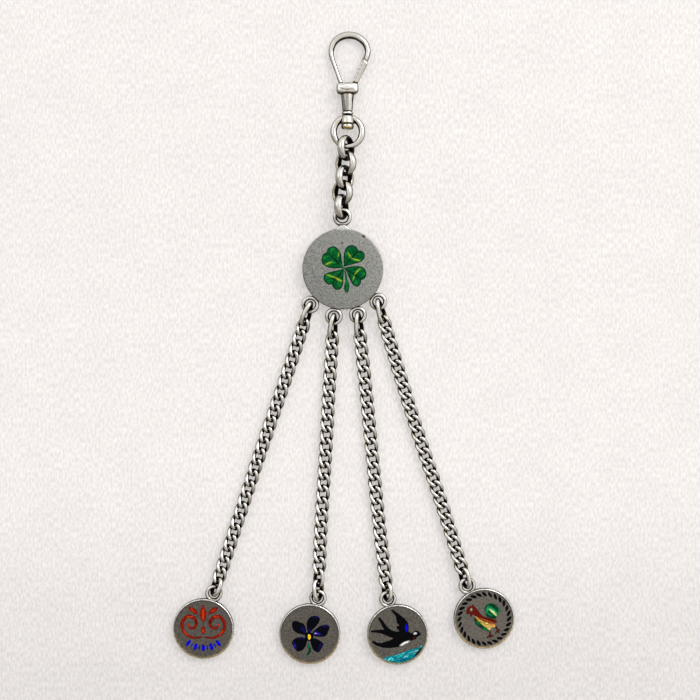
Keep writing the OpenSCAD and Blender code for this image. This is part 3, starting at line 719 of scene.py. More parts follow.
@dataclass(frozen=True)
class SilverFinish:
    """Silver that is darkened by tarnish and by painted shade.

    Its pieces may carry these numbers from 0 to 1: "inner" on the inner side of a loop, which is darkened
    like a recess, "hollow" for tarnish in recesses and painted shade, "soot" for painted shade and painted
    shadow, "gilt" for yellow toning and a painted warm reflection, "polish" for rubbed places and painted
    highlights, and "tone", from -1 to 1, for how much brighter it is, which paints light and shade on some
    pieces.

    Attributes:
        name: Name of the material.
        bright: Colour where the silver is rubbed.
        warm: Colour between the bright places and the darkest ones, which are tarnished and in painted shade.
        dark: Colour where it is most tarnished and where painted shade is deepest.
        roughness: Roughness of the rubbed silver.
        tarnish: Share of the surface that patches of tarnish take.
        scratch: Depth of the fine scratches, in millimetres.
        grit: Share by which fine specks vary the brightness.
        rubbed: Colour of the polished places and of painted highlights.
        yellow: Colour of the yellow toning and of the painted warm reflection.
        grain: Size of the tarnish's patches, in millimetres.
        speck: Size of the fine specks, in millimetres.
        inner_share: How much the inner side of a loop counts as a recess, darkened with tarnish and painted
            shade.
        polished: Roughness of the polished places.
    """

    name: str
    bright: Colour
    warm: Colour
    dark: Colour
    roughness: float
    tarnish: float
    scratch: float
    grit: float
    rubbed: Colour = (0.9, 0.88, 0.85)
    yellow: Colour = (0.78, 0.58, 0.26)
    grain: float = 1.2
    speck: float = 0.3
    inner_share: float = 0.5
    polished: float = 0.2

    def build(self) -> Material:
        """Make the material."""
        material, nodes, shader = new_material(self.name)
        place = nodes.object_place()
        speck = nodes.noise(place, self.speck, 3.0)
        dark = self.darkness(nodes, nodes.noise(place, self.grain, 4.0), speck)
        polish_and_highlight = nodes.attribute("polish_and_highlight")
        rough = nodes.spread(speck, self.roughness * 0.8, self.roughness * 1.25)
        # Rubbed places, which also carry painted highlights, have their own roughness.
        rough = nodes.ramp(polish_and_highlight, 0.0, 1.0, rough, self.polished)
        nodes.feed(
            shader,
            Base_Color=self.base_colour(nodes, dark, polish_and_highlight, speck),
            Metallic=1.0,
            Roughness=nodes.math("ADD", rough, nodes.math("MULTIPLY", dark, 0.25)),
            Normal=nodes.bump(self.relief(nodes, place, speck), self.scratch),
        )
        return material

    def darkness(self, nodes: Tree, patch: object, speck: object) -> NodeSocket:
        """Return how dark the silver is: tarnish and painted shade in recesses and inside loops, patches of
        tarnish, and painted shade and shadow.
        """
        inner = nodes.math("MULTIPLY", nodes.attribute("inner"), self.inner_share)
        hidden = nodes.math("ADD", nodes.attribute("recess_tarnish_and_shade"), inner)
        # Tarnish and painted shade from recesses and the inner side of loops, with patches of tarnish.
        tarnish_and_shade = nodes.ramp(nodes.math("ADD", hidden, nodes.spread(patch, 0.0, 0.16)), 0.17, 0.52)
        cloudy = nodes.ramp(patch, 0.72 - self.tarnish, 0.95 - self.tarnish / 2, 0.0, 0.5)
        clouded = nodes.math("MULTIPLY", cloudy, nodes.ramp(speck, 0.35, 0.6, 0.5, 1.0))
        # Painted shade and painted shadow darken it further.
        return nodes.math("ADD", nodes.math("ADD", tarnish_and_shade, clouded), nodes.attribute("painted_shade"))

    def base_colour(self, nodes: Tree, dark: object, polish_and_highlight: object, speck: object) -> NodeSocket:
        """Return the silver's colour, which goes through a warm one to its darkest."""
        # Rubbed places and painted highlights take the brighter colour. Yellow toning and a painted warm
        # reflection take the yellow one.
        ground = nodes.blend(polish_and_highlight, (*self.bright, 1), (*self.rubbed, 1))
        ground = nodes.blend(nodes.attribute("gilt_and_reflection"), ground, (*self.yellow, 1))
        shade = nodes.spread(speck, 1 - self.grit, 1 + self.grit)
        level = nodes.math("ADD", shade, nodes.attribute("tone"), clamp=False)
        half = nodes.blend(nodes.ramp(dark, 0.0, 0.55), nodes.scaled(ground, level), (*self.warm, 1))
        return nodes.blend(nodes.ramp(dark, 0.35, 0.95), half, (*self.dark, 1))

    @staticmethod
    def relief(nodes: Tree, place: object, speck: object) -> NodeSocket:
        """Return the height of the fine scratches, which run slightly askew, and of the specks."""
        skewed = nodes.add("ShaderNodeMapping", Vector=place, Rotation=(0.0, 0.0, 0.6), Scale=(1.0, 9.0, 1.0))
        return nodes.math("ADD", nodes.noise(skewed.outputs[0], 0.6, 3.0), speck, clamp=False)


@dataclass(frozen=True)
class TarnishAndShade:
    """How dark each place on the silver is, stored as "hollow": tarnish in its recesses, and painted shade
    near the surface, on steep sides and on low places.

    A rise is the vertical part of a normal. A pair holds where a share starts and where it is whole.

    Attributes:
        reach: How far a thing may be to hide a place, in millimetres.
        rays: Number of looks from each place.
        lift: Distance from the metal at which a look starts, in millimetres.
        surface_share: How much a look counts that ends on the surface, and not on metal, as painted shade.
        steep: Painted shade that a steep side adds.
        steep_rise: Rises of steep sides.
        upright: Share of this that an upright side keeps.
        upright_rise: Rise from which a side keeps all.
        low: Darkness that a low place adds, as painted shade and tarnish.
        low_z: Heights of low places, in millimetres.
        under: Share that the underside loses.
        under_rise: Rise from which it loses it all.
    """

    reach: float = 1.3
    rays: int = 24
    lift: float = 0.02
    surface_share: float = 0.45
    steep: float = 0.6
    steep_rise: tuple[float, float] = (0.76, 0.28)
    upright: float = 0.3
    upright_rise: float = 0.4
    low: float = 0.36
    low_z: tuple[float, float] = (1.05, 0.55)
    under: float = 0.75
    under_rise: float = -0.5

    def looks(self) -> list[Vector]:
        """Return the directions of the looks, evenly spread about Z."""
        out = []
        for index in range(self.rays):
            rise = math.sqrt(1 - (index + 0.5) / self.rays)
            turn = index * math.pi * (3 - math.sqrt(5))
            flat = math.sqrt(1 - rise * rise)
            out.append(Vector((flat * math.cos(turn), flat * math.sin(turn), rise)))
        return out

    @staticmethod
    def around(pieces: Sequence[Object]) -> BVHTree:
        """Return all that can hide a place: the surface as face 0, then the pieces."""
        points = [Vector(corner) for corner in ((-1, -1, 0), (1, -1, 0), (1, 1, 0), (-1, 1, 0))]
        faces = [[0, 1, 2, 3]]
        for piece in pieces:
            start = len(points)
            points += [vertex.co for vertex in piece.data.vertices]
            faces += [[start + corner for corner in face.vertices] for face in piece.data.polygons]
        return BVHTree.FromPolygons(points, faces)

    def hidden(self, vertex: MeshVertex, looks: Sequence[Vector], around: BVHTree) -> float:
        """Return how much of what a vertex faces is hidden close by."""
        turn = vertex.normal.to_track_quat("Z", "X").to_matrix()
        start = vertex.co + vertex.normal * self.lift * MM
        hits = 0.0
        for look in looks:
            face = around.ray_cast(start, turn @ look, self.reach * MM)[2]
            if face is not None:
                hits += self.surface_share if face == 0 else 1.0
        return hits / len(looks)

    def mark(self, pieces: Sequence[Object]) -> None:
        """Store the number on every vertex of the silver pieces."""
        looks, around = self.looks(), self.around(pieces)
        for piece in pieces:
            shares = []
            for vertex in piece.data.vertices:
                rise = abs(vertex.normal.z)
                kept = self.upright + (1 - self.upright) * between(rise, 0, self.upright_rise)
                steep = between(rise, *self.steep_rise) * kept
                low = between(vertex.co.z / MM, *self.low_z)
                # Tarnish and painted shade where metal or the surface is close, and painted shade on steep
                # sides and low places.
                share = self.hidden(vertex, looks, around) + self.steep * steep + self.low * low
                shares.append(share * (1 - self.under * between(vertex.normal.z, 0, self.under_rise)))
            store(piece.data, "recess_tarnish_and_shade", "FLOAT", shares)


@dataclass(frozen=True)
class EnamelFinish:
    """Glossy fired enamel, whose colours are painted on the piece as the attribute "tint".

    Its brightness varies by the share mottle, its dark line is as bright as rim, and wave is the depth of
    its unevenness in millimetres.
    """

    name: str
    mottle: float = 0.35
    rim: float = 0.16
    wave: float = 0.02

    def build(self) -> Material:
        """Make the material."""
        material, nodes, shader = new_material(self.name)
        place = nodes.object_place()
        tint = nodes.add("ShaderNodeAttribute", {"attribute_name": "tint"}).outputs["Color"]
        shade = nodes.spread(nodes.noise(place, 0.35, 3.0), 1 - self.mottle, 1 + self.mottle)
        varied, edge = nodes.scaled(tint, shade), nodes.scaled(tint, self.rim)
        nodes.feed(
            shader,
            Base_Color=nodes.blend(nodes.attribute("rim"), varied, edge),
            Roughness=0.2,
            IOR=1.52,
            Specular_IOR_Level=0.04,
            Normal=nodes.bump(nodes.noise(place, 0.8, 2.0), self.wave, 0.6),
        )
        return material


@dataclass(frozen=True)
class Dab:
    """Soft oval dab of colour on enamel, with its middle, size, turn in degrees, colour and cover.

    Its cover is core at its middle, less by fade at its edge, and is cut off at 1.
    """

    x: float
    y: float
    length: float
    width: float
    turn: float
    tint: Colour
    strength: float = 1.0
    core: float = 1.6
    fade: float = 1.3

    @classmethod
    def streak(
        cls,
        start: tuple[float, float],
        end: tuple[float, float],
        width: float,
        tint: Colour,
        strength: float = 1.0,
    ) -> Dab:
        """Return a long dab from one point to another, slightly beyond both."""
        x, y = end[0] - start[0], end[1] - start[1]
        middle = (start[0] + end[0]) / 2, (start[1] + end[1]) / 2
        length, turn = 1.15 * math.hypot(x, y), math.degrees(math.atan2(y, x))
        return cls(*middle, length, width, turn, tint, strength)

    def over(self, points: Points, tints: Points) -> Points:
        """Lay the dab over the colours of flat points."""
        angle = math.radians(self.turn)
        out = points - (self.x, self.y)
        along = (out[:, 0] * math.cos(angle) + out[:, 1] * math.sin(angle)) / (self.length / 2)
        across = (out[:, 1] * math.cos(angle) - out[:, 0] * math.sin(angle)) / (self.width / 2)
        share = np.clip(self.core - self.fade * np.hypot(along, across), 0, 1) * self.strength
        return tints * (1 - share[:, None]) + np.array(self.tint) * share[:, None]


@dataclass
class Patch:
    """Patch of enamel on a charm's face.

    Attributes:
        outline: Anticlockwise outline.
        tint: Ground colour.
        dabs: Dabs of other colours, laid in their order.
        dome: Height of the patch over the face.
        line: Width of the dark line along its edge.
        spacing: Distance between the points of its surface.
        grow: Distance by which the outline moves outwards.
        rounding: Width of its rounded edge.
        sink: Depth of its edge below its place.
        lift: Height of its place over the face.
        rim: Strength of the dark line, before it is cut off at 1.
    """

    outline: Points
    tint: Colour
    dabs: Sequence[Dab] = ()
    dome: float = 0.06
    line: float = 0.14
    spacing: float = 0.11
    grow: float = 0.0
    rounding: float = 0.2
    sink: float = 0.01
    lift: float = 0.004
    rim: float = 1.6

    def __post_init__(self) -> None:
        """Let the outline run anticlockwise and move it outwards."""
        if signed_area(self.outline) < 0:
            self.outline = self.outline[::-1]
        if self.grow:
            self.outline = inset(self.outline, -self.grow)

    def shape(self, face: float) -> Shape:
        """Build the patch on a face at the given height."""
        points, faces, depth = filled_deep(self.outline, self.spacing)
        rise = self.dome * (1 - np.clip(1 - depth / self.rounding, 0, 1) ** 2) - self.sink
        tints = np.tile(np.array(self.tint), (len(points), 1))
        for dab in self.dabs:
            tints = dab.over(points, tints)
        rim = np.clip(self.rim - self.rim * depth / self.line, 0, 1)
        return Shape(np.column_stack([points, face + self.lift + rise]), faces, {"tint": tints, "rim": rim})


@dataclass
class Motif:
    """Motif in enamel on a charm's face, with its node and its material slot of the record."""

    node: str
    slot: str
    patches: Sequence[Patch]


@dataclass
class Finishes:
    """Materials of all the pieces."""

    wire: Material
    face: Material
    drop_face: Material
    enamel: Material

    @classmethod
    def make(cls) -> Finishes:
        """Build every material once."""
        wire = SilverFinish(
            "Silver wire", bright=(0.67, 0.645, 0.6), warm=(0.25, 0.185, 0.105), dark=(0.003, 0.002, 0.001),
            roughness=0.16, tarnish=0.08, scratch=0.004, grit=0.05,
        )
        face = SilverFinish(
            "Satin silver", bright=(0.285, 0.284, 0.266), warm=(0.16, 0.15, 0.13), dark=(0.045, 0.04, 0.032),
            roughness=0.36, tarnish=0.1, scratch=0.006, grit=0.3,
        )
        drop_face = SilverFinish(
            "Grey silver", bright=(0.124, 0.112, 0.096), warm=(0.08, 0.07, 0.056), dark=(0.03, 0.026, 0.02),
            roughness=0.38, tarnish=0.15, scratch=0.006, grit=0.42,
        )
        return cls(wire.build(), face.build(), drop_face.build(), EnamelFinish("Fired enamel").build())


# Sub-assemblies


@dataclass
class Workshop:
    """What every sub-assembly needs to make its pieces."""

    trees: SweepTree
    finishes: Finishes
    silver: list[Object] = field(default_factory=list)

    def wire(
        self, name: str, path: Points, wire: Points | float, closed: bool = True, sides: int = 20
    ) -> Object:
        """Sweep a wire along a path.

        Args:
            name: Name of the object.
            path: Points along the middle of the wire.
            wire: Diameter of the wire, or one for each point.
            closed: Whether the path is a loop.
            sides: Sides of the wire.

        Returns:
            The swept object.
        """
        source = path_object(name, path, wire, closed)
        middle = Vector(path.mean(axis=0) * MM)
        inputs = {"Sides": sides, "Middle": middle, "Finish": self.finishes.wire}
        return self.trees.run(source, self.trees.wire, inputs)

    def lug(self, middle: Sequence[float], diameter: float, wire: float, place: Matrix) -> Object:
        """Sweep a charm's lug.

        Args:
            middle: X and Y of its middle, from the charm's.
            diameter: Its outer diameter.
            wire: Diameter of its wire.
            place: Place of the charm.

        Returns:
            The lug.
        """
        ring = circle((diameter - wire) / 2, 56) + (*middle, 0)
        return move(self.wire("lug", ring, wire), place)

    def fire(self, motif: Motif, place: Matrix, face: float) -> None:
        """Put a motif on a charm.

        Args:
            motif: The motif.
            place: Place of the charm.
            face: Height of its face over its middle.
        """
        whole = motif.patches[0].shape(face)
        for patch in motif.patches[1:]:
            whole = whole.plus(patch.shape(face))
        made = whole.placed(place).object(motif.node, self.finishes.enamel)
        self.keep(made, motif.node, slot=motif.slot)

    def keep(self, made: Object, node: str, body: Body = Body.FOB, slot: str = "silver") -> None:
        """Let a finished piece ride on its body, in place of its node.

        Args:
            made: The finished piece.
            node: Node that it replaces.
            body: Body that it rides on.
            slot: Material slot of the record.
        """
        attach(made, body.value)
        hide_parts(node)
        low, high = (np.array(corner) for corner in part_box(node))
        corners = np.array(made.bound_box)
        off = max(np.max(low - corners.min(axis=0)), np.max(corners.max(axis=0) - high)) / MM
        LOG.info("%s: %d faces, %.2f mm outside its node", made.name, len(made.data.polygons), max(off, 0))
        if slot == "silver":
            self.silver.append(made)


@dataclass
class Clip:
    """Swivel clip: eye, spindle, collar, bow and lever, in a frame that starts at the eye's middle."""

    shop: Workshop
    eye_x: float = 0.81
    eye_y: float = 43.11
    eye_z: float = 1.84
    tilt: float = 3.3
    eye_d: float = 6.96
    eye_wire: float = 1.1
    eye_swelling: float = 0.2
    bore_r: float = 0.65
    boss_low: float = 1.6
    boss_high: float = 3.14
    spindle_x: float = 0.75
    collar_y: float = 8.69
    collar_w: float = 4.4
    collar_h: float = 2.26
    collar_t: float = 2.6
    collar_roundness: float = 4
    hinge_x: float = 1.95
    hinge_y: float = 9.12
    lever_t: float = 0.9
    lever_edge: float = 0.26
    slot_left: float = 0.95
    slot_low: float = 0.6
    slot_gap: float = 0.05
    slot_w: float = 4
    slot_h: float = 3
    nose_slant: float = -24
    nose_reach: float = 1.2
    nose_l: float = 0.6

    @property
    def place(self) -> Matrix:
        """Return the place of the clip's frame."""
        turn = Matrix.Rotation(math.radians(-self.tilt), 4, "X")
        return Matrix.Translation((self.eye_x, self.eye_y, self.eye_z)) @ turn

    @property
    def spindle_place(self) -> Matrix:
        """Return the place of a shape that was turned round Z and lies along the clip."""
        across = Matrix.Translation((self.spindle_x - self.eye_x, 0, 0))
        return self.place @ across @ Matrix.Rotation(math.radians(-90), 4, "X")

    def build(self) -> None:
        """Build and dress the pieces of the clip."""
        self.build_eye()
        self.build_hook()
        self.build_lever()

    def build_eye(self) -> None:
        """Build the eye, with the boss that the swivel pin turns in."""
        count = 96
        turn = all_round(count)
        wire = self.eye_wire + self.eye_swelling * np.clip(1.5 + 1.6 * np.sin(turn), 0, 1)
        ring = circle((self.eye_d - wire) / 2, count)
        eye = move(self.shop.wire("swivel_eye", ring, wire, sides=24), self.place)
        profile = [
            (self.bore_r, self.boss_low), (1.37, self.boss_low), (1.43, 1.78), (1.36, 2.2), (1.24, 2.75),
            (1.1, self.boss_high), (self.bore_r, self.boss_high), (self.bore_r, self.boss_low),
        ]
        boss = revolve(softened(profile, 0.12)[:-1], 48, closed=True)
        # Yellow toning and a painted warm reflection at the boss's low end.
        boss.values["gilt_and_reflection"] = np.clip(1.2 - (boss.points[:, 2] - self.boss_low) / 0.22, 0, 1)
        boss = boss.placed(self.spindle_place)
        made = joined("swivel_eye", [eye, boss.object("boss", self.shop.finishes.wire)])
        self.shop.keep(made, "swivel_eye")

    def bow(self) -> Object:
        """Build the bow from the collar round to its slanted nose."""
        # X, Y, diameter of the wire
        rows = [
            (-0.3, 9.2, 0.8), (-0.62, 9.95, 0.8), (-1.55, 12.6, 0.84), (-2.33, 14.9, 0.92),
            (-2.48, 16.5, 1.06), (-1.75, 18.25, 1.26), (-0.35, 19.25, 1.4), (1.15, 19.52, 1.43),
            (2.7, 19.2, 1.4), (4.1, 18.1, 1.28), (4.78, 16.6, 1.15), (4.72, 15.5, 1.1), (4.35, 14.62, 1.12),
        ]
        curve = spline(rows, 7, closed=False)
        path = np.column_stack([curve[:, 0] - self.eye_x, curve[:, 1], np.zeros(len(curve))])
        made = self.shop.wire("bow", path, curve[:, 2], closed=False, sides=24)
        inner = np.zeros(len(made.data.vertices), np.float32)
        made.data.attributes["inner"].data.foreach_get("value", inner)
        # Painted highlight along the wire's crest and painted shade on its outer side.
        shaded, crest = np.clip(inner, -1, 0), np.clip(1 - 2.5 * np.abs(inner), 0, 1)
        store(made.data, "tone", "FLOAT", 0.26 * shaded + 0.12 * crest)
        self.slant(made, path[-1], unit(path[-1] - path[-2]))
        return move(made, self.place)

    def slant(self, made: Object, tip: Points, along: Points) -> None:
        """Lean the last face of a flat bow, so that its outer side is the longer one.

        Args:
            made: The bow, in the clip's frame.
            tip: Middle of the last face.
            along: Direction of the wire there.
        """
        right = np.array([along[1], -along[0], 0])
        slope = math.tan(math.radians(self.nose_slant))
        for vertex in made.data.vertices:
            out = np.array(vertex.co) / MM - tip
            behind = -float(out @ along)
            if np.linalg.norm(out) < self.nose_reach and behind < self.nose_l:
                shift = slope * float(out @ right) * (1 - behind / self.nose_l)
                vertex.co += Vector(along * shift * MM)

    @property
    def collar_place(self) -> Matrix:
        """Return the place of the collar's middle."""
        return self.place @ Matrix.Translation((self.spindle_x - self.eye_x, self.collar_y, 0))

    def collar(self) -> Object:
        """Build the collar as a block with full, rounded corners and a slot for the lever's root."""
        turns = np.linspace(-math.pi / 2, math.pi / 2, 41)
        radii, heights = (swell(wave, self.collar_roundness) for wave in (np.cos(turns), np.sin(turns)))
        radii[0] = radii[-1] = 0
        body = revolve(list(zip(radii.tolist(), heights.tolist())), 72)
        angle = np.arctan2(body.points[:, 1], body.points[:, 0])
        flat = [body.away * swell(wave, self.collar_roundness) for wave in (np.cos(angle), np.sin(angle))]
        flat.append(body.points[:, 2])
        body.points = np.stack(flat, axis=1) * (self.collar_w / 2, self.collar_h / 2, self.collar_t / 2)
        made = body.object("collar", self.shop.finishes.wire)
        left = self.hinge_x - self.spindle_x - self.slot_left
        low = self.hinge_y - self.collar_y - self.slot_low
        half = self.lever_t / 2 + self.slot_gap
        right, high = left + self.slot_w, low + self.slot_h
        corners = [(x, y, z) for x in (left, right) for y in (low, high) for z in (-half, half)]
        sides = [(0, 1, 3, 2), (4, 6, 7, 5), (0, 4, 5, 1), (2, 3, 7, 6), (0, 2, 6, 4), (1, 5, 7, 3)]
        slot = Shape(np.array(corners), sides).object("slot", self.shop.finishes.wire)
        cut = made.modifiers.new("Slot", "BOOLEAN")
        cut.operation, cut.solver, cut.object = "DIFFERENCE", "EXACT", slot
        made_plain(made)
        bpy.data.objects.remove(slot)
        return move(made, self.collar_place)

    def plaque(self) -> Shape:
        """Build the bulging oval plaque on the front of the collar."""
        shift, length, width, edge_z, high = (-0.06, 0.14), 3.4, 1.34, 1.06, 0.46
        outline = ellipse(length, width, 72)
        points, faces, depth = filled_deep(outline, 0.09)
        bulge = np.sqrt(np.clip(1 - (1 - depth / (width / 2)) ** 2, 0, 1)) ** 0.8
        height = edge_z + (high - points[:, 0] ** 2 / 9) * bulge
        rim = np.clip(1 - depth / 0.14, 0, 1)
        # Painted shade along its edge, painted shadow on its left edge, yellow toning and a painted warm
        # reflection on its lower edge, and rubbed brightness with a painted highlight on its bulge.
        values = {
            "inner": rim,
            "gilt_and_reflection": np.clip(1.3 - depth / 0.22, 0, 1) * np.clip(-points[:, 1] * 3, 0, 1),
            "painted_shade": 0.75 * rim * np.clip(0.5 - points[:, 0], 0, 1),
            "polish_and_highlight": np.clip(depth / 0.2 - 0.4, 0, 1),
        }
        return Shape(np.column_stack([points + shift, height]), faces, values).placed(self.collar_place)

    def build_hook(self) -> None:
        """Build the bow, collar and spindle as one piece."""
        silver = self.shop.finishes.wire
        head_r, pin_r, stop_r, neck_r, low_r, high_r = 1.25, 0.58, 1.1, 0.88, 1.0, 1.3
        head, pin, stop, neck, shaft, rise = 0.52, 1.36, 3.5, 3.88, 4.12, 7.3
        top = rise + 0.5
        profile = [
            (0, head), (head_r - 0.3, head), (head_r - 0.08, head + 0.16), (head_r, head + 0.43),
            (head_r, pin), (pin_r, pin), (pin_r, stop), (stop_r, stop), (stop_r, neck), (neck_r, neck),
            (neck_r, shaft), (low_r, shaft), (high_r - 0.04, rise), (high_r, top), (0, top),
        ]
        lathe = revolve(softened(profile, 0.09), 48)
        reach = lathe.points[:, 2]
        groove = np.abs(reach - (neck + shaft) / 2) < 0.13
        # Painted shadow under the collar and painted shade in the groove.
        lathe.values["painted_shade"] = np.clip((reach - rise) / 0.2, 0, 1) + np.where(groove, 0.8, 0)
        # Yellow toning and a painted warm reflection at the head's low end.
        lathe.values["gilt_and_reflection"] = np.clip((1.0 - reach) / 0.2, 0, 1)
        # Rubbed brightness and a painted highlight on the stop ring.
        lathe.values["polish_and_highlight"] = np.where((reach > stop - 0.05) & (reach < neck + 0.02), 0.8, 0)
        # Painted shade on the shaft, none on its right side.
        shaded = -0.42 * np.clip(0.9 - lathe.points[:, 0] / 0.5, 0, 1)
        lathe.values["tone"] = np.where((reach > shaft + 0.03) & (reach < rise + 0.1), shaded, 0)
        parts = [
            self.bow(),
            lathe.placed(self.spindle_place).object("spindle", silver),
            self.collar(),
            self.plaque().object("plaque", silver),
        ]
        self.shop.keep(joined("clip_hook", parts), "clip_hook", Body.CLIP)

    def build_lever(self) -> None:
        """Build the lever as a bar with a round root and painted shade of a groove beside its inner edge."""
        outline = np.array([
            (1.53, 9.2), (1.56, 8.95), (1.7, 8.77), (1.95, 8.69), (2.2, 8.77), (2.34, 8.93), (2.9, 9.95),
            (4.72, 13.6), (4.74, 13.96), (3.82, 14.94), (1.72, 9.95),
        ])
        bar = plate(finer(outline, 0.2), self.lever_t, self.lever_edge, 0.1)
        low, high = outline[-1], outline[-2]
        along = unit(high - low)
        out = bar.points[:, :2] - low
        run, off = out @ along, out[:, 0] * along[1] - out[:, 1] * along[0]
        # Painted shade of a groove, dotted, beside the inner edge.
        line = np.exp(-(((off - 0.3) / 0.08) ** 2)) * (0.5 + 0.25 * np.sin(run * 7) + 0.2 * np.sin(run * 17))
        # Painted shade where the root meets the collar.
        root = np.clip((low[1] - bar.points[:, 1]) / 0.2, 0, 1)
        bar.values["painted_shade"] = np.where(run > 0, line, 0) + root
        # Painted light on its left side and painted shade on its right side, with yellow toning and a painted
        # warm reflection on the right edge.
        bar.values["tone"] = np.clip((0.75 - off) * 0.5, -0.35, 0.2)
        bar.values["gilt_and_reflection"] = 0.7 * np.clip((off - 1.15) / 0.3, 0, 1)
        bar.points[:, 0] -= self.eye_x
        made = bar.placed(self.place).object("clip_lever", self.shop.finishes.wire)
        self.shop.keep(made, "clip_lever", Body.LEVER)


@dataclass
class UpperChain:
    """Round links between the eye and the large charm, of oval wire.

    The wire is thicker at a link's high and low side. Each link is given by X, Y, its lean from the surface
    in degrees, and the side that stands high.
    """

    shop: Workshop
    outer_d: float = 5.2
    wire: float = 0.9
    depth: float = 1.28
    swelling: float = 0.35
    ground: float = 0.02
    links: Sequence[tuple[float, float, float, int]] = (
        (0.5, 39.78, 59, -1),
        (0.4, 36.8, 43, 1),
        (0.22, 33.85, 55, -1),
        (-0.265, 30.958, 43.6, 1),
        (-0.393, 28.076, 68, -1),
    )

    def build(self) -> None:
        """Build and dress the links."""
        radius = (self.outer_d - self.wire) / 2
        turn = all_round(28)
        section = np.stack([radius + self.wire / 2 * np.cos(turn), self.depth / 2 * np.sin(turn)], axis=1)
        for number, (x, y, degrees, side) in enumerate(self.links, start=1):
            lean = math.radians(degrees)
            low_side = math.hypot(self.wire / 2 * math.sin(lean), self.depth / 2 * math.cos(lean))
            lift = self.ground + low_side + radius * math.sin(lean)
            place = Matrix.Translation((x, y, lift)) @ Matrix.Rotation(-side * lean, 4, "Y")
            link = revolve(section, 80, closed=True)
            away = link.away
            link.values["inner"] = (radius - away) / (self.wire / 2)
            turns = link.points[:, 0] / away
            fuller = self.outer_d / 2 - (self.outer_d / 2 - away) * (1 + self.swelling * turns**2)
            link.points[:, :2] *= (fuller / away)[:, None]
            link.points[:, 2] *= 1 + self.swelling / 2 * np.clip(side * turns, 0, 1)
            name = f"upper_link_{number}"
            made = link.placed(place).object(name, self.shop.finishes.wire)
            self.shop.keep(made, name)


